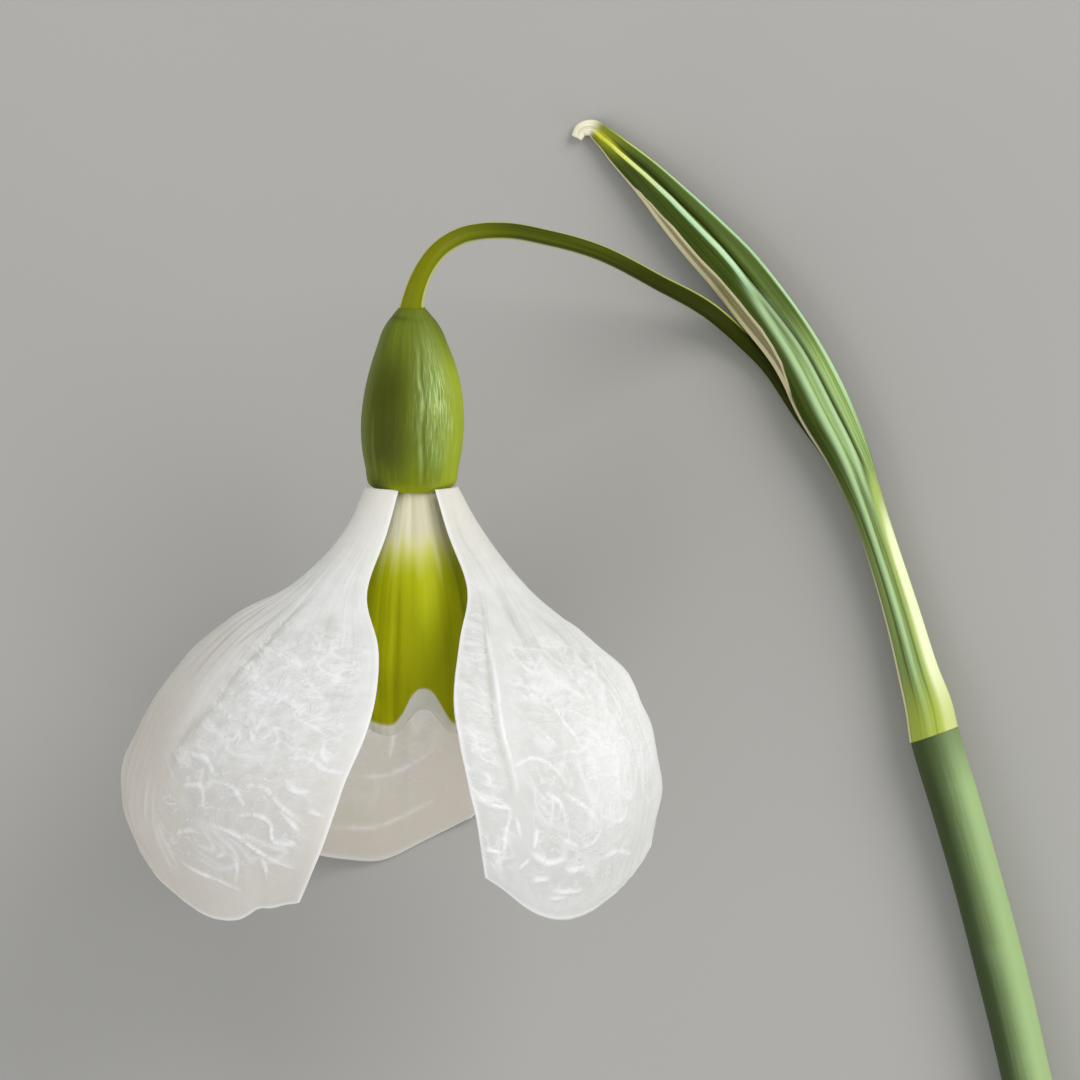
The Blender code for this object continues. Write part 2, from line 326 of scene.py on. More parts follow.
studio = {
    "cameraOffset": (7.11, -2.94, 450.0),  # mm from the flower's base
    "lens": 270.0,
    "floorSize": 6.0,  # m
    "floorColour": (0.42, 0.41, 0.39),
    "floorGrain": (30.0, 0.96),  # its scale, and the darker colour as a share
    "world": ((0.96, 0.98, 1.0), 0.52),
    # name: place (m), size (m), power (W), colour
    "lights": {
        "key": ((0.34, 0.31, 0.38), 0.42, 2.06, (1.0, 0.985, 0.955)),
        "fill": ((-0.45, -0.2, 0.4), 0.5, 1.2, (0.98, 0.99, 1.0)),
        "edge": ((0.3, -0.25, 0.12), 0.2, 0.25, (1.0, 0.98, 0.95)),
    },
}


def buildStudio():
    scene = bpy.context.scene
    camera = bpy.data.objects.new("camera", bpy.data.cameras.new("camera"))
    camera.location = Vector(flowerBase) + Vector(studio["cameraOffset"]) * mm
    camera.data.lens = studio["lens"]
    camera.data.sensor_width = 36.0
    camera.data.clip_start, camera.data.clip_end = 0.02, 10.0
    scene.collection.objects.link(camera)
    scene.camera = camera

    for name, (place, size, power, colour) in studio["lights"].items():
        lamp = bpy.data.lights.new(name, "AREA")
        lamp.shape, lamp.size = "DISK", size
        lamp.energy, lamp.color = power, colour
        light = bpy.data.objects.new(name, lamp)
        light.location = place
        light.rotation_euler = Vector(place).to_track_quat("Z", "Y").to_euler()
        scene.collection.objects.link(light)

    world = bpy.data.worlds.new("studio")
    world.use_nodes = True
    background = world.node_tree.nodes["Background"]
    background.inputs["Color"].default_value = (*studio["world"][0], 1.0)
    background.inputs["Strength"].default_value = studio["world"][1]
    scene.world = world
    scene.view_settings.view_transform = "Standard"

    corners = np.array([(-1, -1, 0), (1, -1, 0), (1, 1, 0), (-1, 1, 0)]) * studio["floorSize"] / 2
    mesh = makeMesh("floor", corners, [[0, 1, 2, 3]], corners[:, :2], {})
    floor = bpy.data.objects.new("floor", mesh)
    scene.collection.objects.link(floor)
    paper = Finish("floor_paper", roughness=0.9)
    scale, share = studio["floorGrain"]
    tone = tuple(value * share for value in studio["floorColour"])
    grain = paper.noise(paper.place(), scale, 3.0)
    mesh.materials.append(paper.finish(paper.mix(grain, studio["floorColour"], tone)))
    floor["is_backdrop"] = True


buildStudio()
print("studio ready")

outerTepal = {
    "rows": 301,
    "columns": 231,
    "thickness": 0.22,  # mm
    "edgeThickness": 0.1,
    "cup": 0.2,  # depth of the spoon as a share of its width
    "arc": 1.15,  # how much wider it is along its bow than straight across
    "endFlattening": 0.65,
    "creaseSteps": 16,
    "ragged": ((0.035, 0.35), (0.02, 0.16)),  # how far and how often a crease wanders, mm
    "swelling": (0.35, 0.7),  # how much its width varies, and how often in mm
    "fullRidge": 0.1,  # a crease this high takes all of its colour
    "fullValley": 0.15,
    "ridgeWidth": 0.52,  # of the drawn widths
    "valleyWidth": 1.0,
    "creaseHeight": 0.75,  # of the drawn heights
    "valleyHeight": 0.6,  # and of that again, for a valley
    "cellSize": (1.5, 1.1),  # mm, of the puckers, across and along
    "pillow": 0.055,  # mm
    "foldHeight": 0.04,
    "foldTilt": 0.3,
    "foldWidths": (0.13, 0.17),  # of long and short folds, in fold sizes
    "veinHeight": 0.025,
    "waveHeight": 0.16,
    "edgeWave": 0.12,
    # width of the painted highlight along the edges
    "rimWidth": 0.13,
    "grey": (0.80, 0.80, 0.78),
    "white": (0.86, 0.865, 0.855),
    # coats of colour: mark or pattern, share, colour; a later one covers an earlier one
    "coats": (
        ("veins", 0.5, (0.66, 0.645, 0.60)),
        ("shade", 0.85, "shadeColour"),
        ("mottle", 0.45, (0.64, 0.63, 0.605)),
        # painted shade: the hollow coat greys the pucker cells
        ("hollow", 0.42, (0.62, 0.60, 0.575)),
        # painted shade: the valley coat darkens the valley creases
        ("valley", 0.5, (0.48, 0.47, 0.40)),
        ("claw", 0.6, (0.70, 0.655, 0.55)),
        # painted highlights: the lines and folds coats whiten the crests of the fine creases and folds
        ("lines", 0.35, (0.95, 0.955, 0.96)),
        ("folds", 0.85, (0.96, 0.965, 0.97)),
        # painted light: this coat whitens the brighter places
        ("paintedLight", 0.8, (1.0, 1.0, 1.0)),
        # painted highlight: the ridge coat whitens the crests of the raised creases
        ("ridge", 1.0, (0.97, 0.975, 0.985)),
        # painted highlight: the rim coat whitens the edges
        ("rim", 0.8, (0.96, 0.965, 0.95)),
    ),
}

# each tepal: its two edges from claw to end (mm, in the flower's frame), how far its end reaches past
# them, bumps of that end, and its creases: places across (-1 to 1) and along (0 to 1), width, height
leftTepal = {
    "edges": (
        ((-2.5, -.7, .15), (-3.5, -.8, -2), (-6.3, -1, -5.1), (-10.2, -1.1, -7.3),
         (-13.3, -1.2, -10), (-15.4, -1.3, -13.5), (-16.2, -1.5, -16.5), (-14.9, -3.2, -20.1)),
        ((-.7, -2.1, .15), (-1.3, -2.7, -2), (-2.4, -5.4, -5.1), (-1.7, -9, -7.9),
         (-2, -11.8, -10.8), (-3.5, -13.3, -14.4), (-4.8, -13.4, -18), (-6, -12.2, -21.1)),
    ),
    "endDrop": 2.4,
    "endSkew": 0.35,
    "endBumps": ((-.42, .52, -.82), (.6, .13, -.4), (.84, .12, -.15)),
    # regions of fine folds: across and along from and to, strength, fold size across and along in mm
    "folds": ((-.15, .9, .36, .68, .8, 1.3, .42), (-.3, .85, .66, .9, .6, 2.6, .75)),
    "shade": (0.66, 0.8),  # of the left part and of the low part
    "creases": (
        (((.62, .67), (.75, .67), (.85, .69), (.96, .70)), .10, .10),
        (((.79, .63), (.81, .66), (.88, .68)), .10, .09),
        (((.68, .73), (.75, .74), (.82, .74)), .12, .09),
        (((.13, .73), (.33, .74), (.43, .77)), .12, .09),
        (((.43, .73), (.54, .735), (.64, .76), (.82, .80)), .12, .09),
        (((.41, .79), (.54, .79), (.65, .81), (.68, .84), (.83, .85)), .11, .10),
        (((.20, .81), (.43, .83), (.62, .87), (.88, .91)), .10, .10),
        (((-.08, .90), (.11, .91), (.27, .92), (.44, .94)), .10, .09),
        (((.27, .87), (.40, .87), (.43, .89), (.41, .92)), .11, .07),
        (((.69, .78), (.83, .82)), .13, .10),
        (((.86, .78), (.95, .79)), .14, .09),
        (((-.10, .75), (.08, .75), (.12, .78)), .14, .08),
        (((-.11, .69), (.02, .69), (.15, .72)), .20, .09),
        (((.28, .62), (.33, .64)), .16, .09),
        (((-.08, .84), (.02, .83), (.12, .83)), .12, .06),
        (((.62, .88), (.65, .90), (.67, .93)), .10, .07),
        (((-.49, .76), (-.47, .85)), .34, .03),
        (((-.39, .77), (-.34, .86), (-.27, .92)), .34, .025),
        (((.12, .26), (0, .36), (-.03, .44), (-.10, .50), (-.12, .60)), .34, -.15),
        (((-.57, .36), (-.62, .44), (-.58, .50), (-.55, .55)), .20, -.14),
        (((-.22, .33), (-.30, .40), (-.36, .45)), .20, -.12),
        (((.57, .31), (.52, .41)), .40, -.10),
        (((-.11, .58), (-.25, .66), (-.30, .74)), .50, -.15),
        (((-.88, .70), (-.89, .81), (-.84, .88), (-.60, .95)), .35, -.10),
    ),
    "paintedBrightness": 1.0,
    "shadeColour": (0.65, 0.59, 0.515),
    "seed": 11,
}
rightTepal = {
    "edges": (
        ((1.3, -2, .15), (1.9, -2.8, -1.8), (3.1, -5.4, -4.9), (2.7, -8.6, -7.3),
         (2.4, -11.4, -10.4), (3.2, -13.2, -14.2), (3.7, -13.3, -16.8), (4.1, -12.5, -19.8)),
        ((2.5, -.7, .15), (3.5, -.8, -1.7), (6.5, -1, -5.6), (9.3, -1.1, -7.8),
         (12.2, -1.1, -10.5), (13.5, -1.2, -14.1), (13.85, -1.5, -16.4), (13.3, -3.4, -19.7)),
    ),
    "endDrop": 3.0,
    "endSkew": 0.0,
    "endBumps": ((-.85, .22, -.32), (.4, .42, -.5)),
    "folds": ((-1, -.76, .3, .97, .8, 1.3, .5), (-.6, .85, .42, .84, .75, 1.3, 1.1),
              (-.6, .4, .8, .97, .5, 1.6, .6)),
    "shade": (0.4, 0.55),
    # painted light, brighter places: across and along, their widths, strength
    "paintedLight": ((.85, .62, .3, .22, 1.0), (.2, .72, .35, .14, .8)),
    "creases": (
        (((-.82, .27), (-.78, .35), (-.76, .50), (-.76, .66), (-.73, .78)), .16, -.20),
        (((-.78, .35), (-.71, .50), (-.71, .66), (-.69, .77)), .14, .08),
        (((-.31, .02), (-.62, .10), (-.54, .20), (-.53, .26)), .15, -.10),
        (((-.38, .26), (-.37, .36), (-.30, .43)), .30, -.10),
        (((-.37, .36), (-.19, .43), (0, .53)), .30, -.09),
        (((.18, .35), (.32, .44), (.39, .52), (.43, .61)), .35, -.12),
        (((.52, .51), (.55, .58), (.59, .66)), .14, -.10),
        (((.16, .57), (.34, .63), (.44, .72), (.47, .80)), .12, -.10),
        (((.41, .57), (.45, .66), (.53, .74), (.55, .82)), .11, -.14),
        (((.62, .62), (.77, .72), (.82, .80)), .11, -.12),
        (((-.27, .57), (-.22, .62), (-.12, .67), (-.10, .69)), .11, .10),
        (((-.41, .65), (-.34, .67)), .10, .08),
        (((-.22, .69), (-.10, .69), (.01, .67)), .11, .08),
        (((-.68, .72), (-.52, .70), (-.38, .72), (-.28, .76)), .11, .09),
        (((-.07, .71), (.09, .705), (.27, .72), (.27, .74), (.10, .745), (-.08, .725)), .12, .08),
        (((-.99, .78), (-.94, .80), (-.87, .81), (-.76, .815), (-.78, .83)), .12, .12),
        (((-.76, .82), (-.81, .87), (-.83, .92)), .12, .10),
        (((-.97, .92), (-.82, .91)), .12, .10),
        (((-.72, .83), (-.70, .86)), .12, .10),
        (((-.57, .84), (-.59, .88)), .16, .12),
        (((-.47, .77), (-.36, .79), (-.33, .82)), .11, .09),
        (((-.32, .77), (-.19, .79), (-.05, .82), (.02, .84)), .14, .11),
        (((-.13, .75), (.01, .75), (.02, .78)), .11, .08),
        (((.02, .82), (.30, .83), (.32, .82)), .12, .09),
        (((-.18, .87), (-.03, .86), (.03, .84)), .11, .08),
        (((-.39, .85), (-.19, .87)), .10, .08),
        (((-.59, .89), (-.47, .90), (-.31, .89)), .20, .12),
        (((.02, .90), (.27, .90), (.50, .93)), .14, .10),
        (((-.30, .91), (-.09, .91)), .22, .12),
        (((-.57, .94), (-.45, .93)), .16, .10),
        (((-.38, .95), (-.08, .95)), .13, .10),
        (((-.42, .965), (-.25, .96)), .10, .08),
        (((-.70, .93), (-.62, .90)), .12, .08),
    ),
    "paintedBrightness": 0.95,
    "shadeColour": (0.66, 0.66, 0.645),
    "seed": 23,
}
# the back tepal's edges: half width as an angle, radius and z, from claw to end
backEdge = ((32, 2.4, .15), (27, 3.3, -2), (25, 6.2, -5), (34, 10, -8), (38, 13.2, -12),
            (38, 14.6, -15.5), (34, 14.7, -18.9), (25, 14.5, -21.3))
backAzimuth = 192.5
backTepal = {
    "edges": tuple([tuple(polar(backAzimuth + side * half, radius, z))
                    for half, radius, z in backEdge] for side in (-1, 1)),
    "endDrop": 2.3,
    "endSkew": -0.2,
    "endBumps": ((-.18, .28, .36),),
    "folds": ((-.5, .5, .64, .88, .25, 1.6, 1.3),),
    "shade": (0.4, 0.95),
    "creases": (
        (((-.30, .60), (-.30, .86)), .22, -.06),
        (((.25, .62), (.24, .88)), .2, .05),
        (((-.45, .80), (-.2, .83), (.1, .83)), .14, .05),
        (((-.5, .9), (-.1, .93), (.3, .93)), .16, .05),
        (((-.22, .74), (-.18, .8)), .2, .07),
    ),
    "fineness": 0.3,
    # painted shade: the back tepal is a darker copy of the same white
    "paintedBrightness": 0.86,
    "shadeColour": (0.55, 0.495, 0.42),
    "seed": 37,
}


# random folds, x and y in fold sizes: 1 on the folds' crests
def foldNet(x, y, seed):
    warpX = x + 0.7 * softNoise(x * 0.6, y * 0.6, seed) + 20
    warpY = y + 0.7 * softNoise(x * 0.7 + 9, y * 0.5, seed + 1) + 20
    long, short = softNoise(warpX, warpY, seed + 2), softNoise(warpX * 1.9, warpY * 1.6, seed + 3)
    broken = smoothStep(-0.5, 0.3, softNoise(x * 0.8 + 5, y * 0.9 + 5, seed + 4))
    longWidth, shortWidth = outerTepal["foldWidths"]
    return np.maximum(bell(long, 0, longWidth), 0.75 * bell(short, 0, shortWidth)) * broken


# the drawn creases: height in mm, and how much of a ridge and of a valley each place is
def drawCreases(x, y, creases, placeOf, seed):
    relief, ridge, valley = np.zeros(x.shape), np.zeros(x.shape), np.zeros(x.shape)
    ragged = sum(far * softNoise(x / size, y / size, seed + number)
                 for number, (far, size) in enumerate(outerTepal["ragged"]))
    amount, size = outerTepal["swelling"]
    swelling = 1 + amount * softNoise(x / size, y / size, seed + 2)
    steps = outerTepal["creaseSteps"]
    for points, width, height in creases:
        line = smoothRows([placeOf(u, v) for u, v in points], steps + 1)
        distance, share = np.full(x.shape, farAway), np.zeros(x.shape)
        for number, ((startX, startY), (endX, endY)) in enumerate(zip(line, line[1:])):
            stepX, stepY = endX - startX, endY - startY
            part = ((x - startX) * stepX + (y - startY) * stepY) / (stepX**2 + stepY**2)
            part = np.clip(part, 0, 1)
            away = np.hypot(x - startX - part * stepX, y - startY - part * stepY)
            share = np.where(away < distance, (number + part) / steps, share)
            distance = np.minimum(distance, away)
        raised = height > 0
        reach = width * outerTepal["ridgeWidth" if raised else "valleyWidth"] * swelling
        strength = np.exp(-(np.abs(distance + ragged) / reach) ** 1.5)
        # it thins out at both ends
        strength = strength * np.sqrt(np.sin(math.pi * (0.04 + 0.92 * share)))
        scale = outerTepal["creaseHeight"] * (1 if raised else outerTepal["valleyHeight"])
        relief += height * scale * strength
        if raised:
            ridge = np.maximum(ridge, strength * min(1.0, height / outerTepal["fullRidge"]))
        else:
            valley = np.maximum(valley, strength * min(1.0, -height / outerTepal["fullValley"]))
    return relief, ridge, valley


# the smooth spoon of a tepal: its places, its outward directions, half its width and its length
def tepalSpoon(tepal, u, v):
    first, last = (smoothRows(edge, outerTepal["rows"]) for edge in tepal["edges"])
    middle, half = (first + last) / 2, (last - first) / 2
    chord = np.linalg.norm(half, axis=1)[:, None]
    outward = middle * (1, 1, 0)
    outward /= np.linalg.norm(outward, axis=1, keepdims=True)
    ending = v**4
    bow = outerTepal["cup"] * (1 - outerTepal["endFlattening"] * ending) * 2 * chord * (1 - u * u)
    drop = ending * tepal["endDrop"] * (1 - tepal["endSkew"] * u) * (1 - u * u)
    for bumpMiddle, bumpWidth, bumpDepth in tepal["endBumps"]:
        drop = drop + v**8 * bumpDepth * bell(u, bumpMiddle, bumpWidth)
    places = middle[:, None] + half[:, None] * u[..., None] + outward[:, None] * bow[..., None]
    places[..., 2] -= drop
    return places, outward[:, None], chord, np.linalg.norm(np.diff(middle, axis=0), axis=1).sum()


# the tepal's regions of fine folds: how puckered each place is, and the folds' crests
def fineFolds(tepal, u, v, x, y):
    puckered, net = np.zeros(x.shape), np.zeros(x.shape)
    for number, (left, right, near, far, strength, sizeAcross, sizeAlong) in enumerate(tepal["folds"]):
        region = smoothStep(left - 0.12, left + 0.12, u) * smoothStep(right + 0.12, right - 0.12, u)
        region = region * smoothStep(near - 0.06, near + 0.06, v) * smoothStep(far + 0.05, far - 0.05, v)
        tilted = (y - outerTepal["foldTilt"] * x) / sizeAlong
        folds = foldNet(x / sizeAcross + 9 * number, tilted, tepal["seed"] + 10 + 5 * number)
        net = np.maximum(net, strength * region * folds)
        puckered = np.maximum(puckered, region)
    return puckered, net


def outerTepalMesh(name, tepal):
    rows, columns, seed = outerTepal["rows"], outerTepal["columns"], tepal["seed"]
    v, u = np.linspace(0, 1, rows)[:, None], np.linspace(-1, 1, columns)[None, :]
    places, outward, chord, length = tepalSpoon(tepal, u, v)

    # mm across and along the tepal
    x, y = u * chord * outerTepal["arc"], np.broadcast_to(v * length, (rows, columns))

    def placeOf(across, along):
        return across * np.interp(along, v[:, 0], chord[:, 0]) * outerTepal["arc"], along * length

    relief, ridge, valley = drawCreases(x, y, tepal["creases"], placeOf, seed)
    puckered, net = fineFolds(tepal, u, v, x, y)
    sizeX, sizeY = outerTepal["cellSize"]
    warpX = 0.5 * softNoise(x / 1.9, y / 1.9, seed) + 0.25 * softNoise(x / 0.8, y / 0.8, seed + 1)
    warpY = 0.5 * softNoise(x / 1.7, y / 1.7, seed + 2) + 0.25 * softNoise(x / 0.7, y / 0.7, seed + 3)
    border, own = randomCells(x / sizeX + warpX + 20, y / sizeY + warpY + 20, seed)
    blob = smoothStep(0.0, 0.45, border) * puckered
    relief = relief + outerTepal["foldHeight"] * net + outerTepal["pillow"] * (own - 0.5) * blob
    veins = softNoise(u * 16 + 40, v * 2.5, seed + 6) * smoothStep(0.05, 0.25, v) * (1 - 0.6 * puckered)
    waves = softNoise(u * 2.5 + 30, v * 3 + 5, seed + 7) * smoothStep(0.1, 0.5, v)
    edge = np.abs(u) ** 8 * smoothStep(0.2, 0.5, v) * softNoise(v * 14 + u * 3 + 30, seed, seed + 8)
    relief = relief + outerTepal["veinHeight"] * veins + outerTepal["waveHeight"] * waves
    relief = relief + outerTepal["edgeWave"] * edge

    toRim = np.minimum((1 - abs(u)) * chord, (1 - v) * length)
    thin, thick = outerTepal["edgeThickness"], outerTepal["thickness"]
    leftShade, lowShade = tepal["shade"]
    # painted light: brighter places of the tepal
    paintedLight = sum(strength * bell(u, glowU, wideU) * bell(v, glowV, wideV)
               for glowU, glowV, wideU, wideV, strength in tepal.get("paintedLight", ()))
    marks = {
        "thickness": thin + (thick - thin) * smoothStep(0, 0.5, toRim),
        "relief": relief,
        # painted highlights: ridge and folds whiten the crests of the creases and folds
        "ridge": ridge,
        "folds": net,
        # painted shade in the valley creases
        "valley": valley,
        # painted shade on the pucker cells
        "hollow": blob * own,
        "fine": puckered * tepal.get("fineness", 1.0),
        # painted highlight along the edges
        "rim": bell(toRim, 0, outerTepal["rimWidth"]),
        "claw": 1 - smoothStep(0.0, 0.3, v),
        "veined": smoothStep(0.02, 0.15, v) * smoothStep(0.8, 0.4, v),
        "paintedLight": paintedLight,
        "shade": np.clip(leftShade * smoothStep(0.35, -0.7, u) * smoothStep(0.15, 0.5, v)
                         + lowShade * smoothStep(0.5, 0.9, v), 0, 1),
    }
    places, marks = facingOut(places, outward, marks)
    places = places + gridNormals(places) * marks.pop("relief")[..., None]
    return sheetMesh(name, onFlower(places), marks.pop("thickness"), marks)


def tepalFinish(name, tepal):
    petal = Finish(name, roughness=0.45, subsurface=0.1, depth=0.0004,
                   Subsurface_Radius=(1.0, 0.93, 0.85), Specular_IOR_Level=0.35)

    # each tepal's brightness is painted light and shade: darker copies of the same white
    def tone(colour):
        return colour if isinstance(colour, str) else tuple(value * tepal["paintedBrightness"] for value in colour)

    tissue = petal.noise(petal.place(), 700.0, 4.0, 0.6)
    streaks = petal.noise(petal.uv(55.0, 1.6), 1.0, 3.0, 0.6)
    mottle = petal.noise(petal.uv(19.0, 40.0), 1.0, 3.0, 0.6)
    # the fine lines are painted highlights on tiny creases, and a little bump too
    crossing = petal.maths("SUBTRACT", petal.noise(petal.uv(12.0, 32.0), 1.0, 2.0, 0.5), 0.5)
    lines = petal.where("fine", petal.ramp(petal.maths("ABSOLUTE", crossing), 0.025, 0.0))
    colour = petal.coats(
        petal.mix(petal.ramp(tissue, 0.35, 0.65), tone(outerTepal["grey"]), tone(outerTepal["white"])),
        [(coat, share, tone(over)) for coat, share, over in outerTepal["coats"]],
        veins=petal.where("veined", petal.ramp(streaks, 0.52, 0.68)),
        mottle=petal.where("fine", petal.ramp(mottle, 0.62, 0.38)),
        lines=lines, shadeColour=tepal["shadeColour"])
    fine = petal.noise(petal.place(), 3200.0, 3.0, 0.6)
    height = petal.maths("ADD", fine, petal.maths("MULTIPLY", lines, 1.4))
    bump = petal.bump(petal.maths("ADD", height, mottle), 0.03, 0.5)
    return petal.finish(colour, petal.ramp(petal.mark("ridge"), 0.0, 1.0, 0.5, 0.3), bump)


for side, tepal in (("left", leftTepal), ("right", rightTepal), ("back", backTepal)):
    name = f"outer_tepal_{side}_petal"
    material = tepalFinish(f"tepal_white_{side}", tepal)
    addPiece(name, outerTepalMesh(name, tepal), material, "outer_tepal_white", [f"outer_tepal_{side}"])
print("outer tepals made")

innerTepal = {
    "azimuths": {"front": 8.0, "right": 128.0, "left": 248.0},
    # half angle (degrees), radius and z along the middle
    "shape": ((54, 1.62, .12), (56, 2.4, -2.2), (57, 3.6, -5), (56, 4.5, -9), (52, 4.9, -13.2)),
    "rows": 171,
    "columns": 121,
    "notchDepth": 1.5,
    "notchShare": 0.24,
    "lobeRounding": 1.6,
    "thickness": 0.26,
    "grooveDepth": 0.07,
    "whiteMargin": 0.6,  # mm between the green and the end
    "notchMargin": 1.4,  # more of it inside the notch
    "length": 13.0,  # to measure it from the end
    "flare": 0.15,
    "ripple": 0.14,
    # the darker and the lighter streaks of each area
    "streaked": {
        "cream": ((0.56, 0.52, 0.33), (0.80, 0.78, 0.60)),
        "white": ((1.0, 0.93, 0.78), (1.0, 0.97, 0.88)),
        "fresh": ((0.34, 0.37, 0.001), (0.50, 0.53, 0.003)),
        "olive": ((0.39, 0.40, 0.0), (0.57, 0.585, 0.0)),
    },
    "creamCoats": (("yellow", 0.9, (0.66, 0.65, 0.16)),),
    "greenCoats": (("centre", 0.6, (0.50, 0.55, 0.003)), ("lines", 1.0, (0.40, 0.425, 0.002))),
    # the rim coat is a painted highlight along the edges
    "edgeCoats": (("greenEdge", 0.4, (0.95, 0.93, 0.62)), ("rim", 0.8, (1.0, 0.97, 0.86))),
}


def innerTepalMesh(name, azimuth, seed):
    rows, columns = innerTepal["rows"], innerTepal["columns"]
    u, v = np.linspace(-1, 1, columns)[None, :], np.linspace(0, 1, rows)[:, None]
    arch = np.exp(-np.abs(u / innerTepal["notchShare"]) ** 2.6)
    endShape = innerTepal["notchDepth"] * arch + innerTepal["lobeRounding"] * u**4
    half, radius, z = (column[:, None] for column in smoothRows(innerTepal["shape"], rows).T)
    grooves = softNoise(u * 9 + 30, v * 1.5 + 3, seed) + 0.4 * softNoise(u * 22 + 30, v * 2 + 3, seed + 1)
    flare = innerTepal["flare"] * smoothStep(0.8, 1.0, v) * (1 - 0.6 * bell(u, 0, 0.2))
    ripple = innerTepal["ripple"] * softNoise(u * 4 + 20, v * 6, seed + 2) * smoothStep(0.25, 0.7, v)
    radius = radius + innerTepal["grooveDepth"] * grooves * (radius / 4.5) ** 1.5 + flare + ripple
    places = polar(azimuth + half * u, radius, z + endShape * v**3)
    toEnd, toSide = (1 - v) * innerTepal["length"], (1 - abs(u)) * np.radians(half) * radius
    pastMargin = toEnd - innerTepal["whiteMargin"] - innerTepal["notchMargin"] * arch
    toRim = np.minimum(toSide, toEnd)
    green = smoothStep(-0.05, 0.07, pastMargin) * smoothStep(0.12, 0.3, toSide)
    tint = smoothStep(0.08, 0.5, v + 0.06 * softNoise(u * 9 + 30, v * 2, seed + 3) + 0.08 * u * u)
    marks = {
        "green": green * smoothStep(0.3, 0.85, tint),
        "yellow": smoothStep(0.1, 0.6, tint) * green,
        "deep": smoothStep(0.35, 1.0, v - 0.2 * smoothStep(0.1, 0.5, u)),
        "greenEdge": bell(pastMargin, 0.0, 0.09),
        "streak": (grooves + 1.5) / 3,
        "centre": bell(u, 0.06, 0.16) * bell(v, 0.42, 0.3),
        # painted highlight along the edges
        "rim": bell(toRim, 0, 0.15),
        "far": v,
    }
    places, marks = facingOut(places, places * (1, 1, 0), marks)
    thickness = innerTepal["thickness"] * (0.45 + 0.55 * smoothStep(0, 0.5, toRim))
    return sheetMesh(name, onFlower(places), thickness, marks)


def innerFinish():
    petal = Finish("tepal_marked", roughness=0.5, subsurface=0.08, depth=0.0004,
                   Subsurface_Radius=(0.9, 1.0, 0.35), Specular_IOR_Level=0.12)
    streaked = {area: petal.mix(petal.mark("streak"), *pair) for area, pair in innerTepal["streaked"].items()}
    lines = petal.ramp(petal.noise(petal.uv(60.0, 1.6), 1.0, 3.0), 0.4, 0.7, 0.0, 0.3)
    green = petal.mix(petal.mark("deep"), streaked["fresh"], streaked["olive"])
    green = petal.coats(green, innerTepal["greenCoats"], lines=lines)
    cream = petal.mix(petal.ramp(petal.mark("far"), 0.55, 0.75), streaked["cream"], streaked["white"])
    cream = petal.coats(cream, innerTepal["creamCoats"])
    colour = petal.coats(petal.mix(petal.mark("green"), cream, green), innerTepal["edgeCoats"])
    bump = petal.bump(petal.noise(petal.uv(120.0, 4.0), 1.0, 2.0), 0.04, 0.5)
    return petal.finish(colour, None, bump)


markedFinish = innerFinish()
for number, (side, azimuth) in enumerate(innerTepal["azimuths"].items()):
    name = f"inner_tepal_{side}_petal"
    mesh = innerTepalMesh(name, azimuth, 51 + 10 * number)
    addPiece(name, mesh, markedFinish, "inner_tepal_green", [f"inner_tepal_{side}"])
print("inner tepals made")

ovary = {
    # distance above the underside and radius
    "profile": ((-.05, 2.05), (.2, 2.36), (1.2, 2.6), (2.3, 2.79), (3.5, 2.86), (4.6, 2.8), (5.7, 2.64),
                (6.9, 2.33), (8, 1.94), (8.7, 1.68), (9.2, 1.4), (9.6, 1.1), (9.85, .88), (10.05, .72)),
    "rows": 240,
    "columns": 360,
    "ridgeHeight": 0.02,
    "wrinkleHeight": 0.034,
    "wrinkleAzimuth": 30.0,  # where the glossy wrinkled patch is, degrees to the right of the front
    "seamAzimuth": 9.0,
    "seamHeight": 0.035,
    "seamHollow": 0.045,
    "collarHeight": 0.06,
    "neckHollow": 0.03,
    "lean": 0.09,
    "green": ((0.070, 0.094, 0.0), (0.15, 0.185, 0.0)),
    # colours of the painted light on the right side
    "brightGreen": ((0.30, 0.38, 0.02), (0.46, 0.55, 0.02)),
    "coats": (
        ("fine", 1.0, (0.19, 0.24, 0.006)),
        ("cloud", 1.0, (0.13, 0.19, 0.012)),
        # painted light and shade: dark darkens the left side, bright lightens the right side
        ("dark", 0.8, (0.05, 0.054, 0.0)),
        ("bright", 0.8, "brightGreen"),
        ("shoulder", 0.25, (0.20, 0.27, 0.035)),
        ("side", 0.6, (0.17, 0.20, 0.055)),
        # painted highlights: the next two coats paint the wrinkled patch's sheen and glints
        ("patch", 0.6, (0.40, 0.53, 0.15)),
        ("paleStrands", 0.85, (0.56, 0.74, 0.34)),
        # painted shade between the wrinkles of the patch
        ("hollows", 0.6, (0.07, 0.12, 0.008)),
        ("seam", 0.75, (0.42, 0.56, 0.18)),
        ("beside", 0.5, (0.06, 0.09, 0.004)),
        ("base", 0.75, (0.34, 0.38, 0.003)),
        ("fleck", 0.8, (0.04, 0.04, 0.003)),
        # painted shade in the neck's groove, on the left
        ("neck", 0.55, (0.06, 0.075, 0.004)),
    ),
}


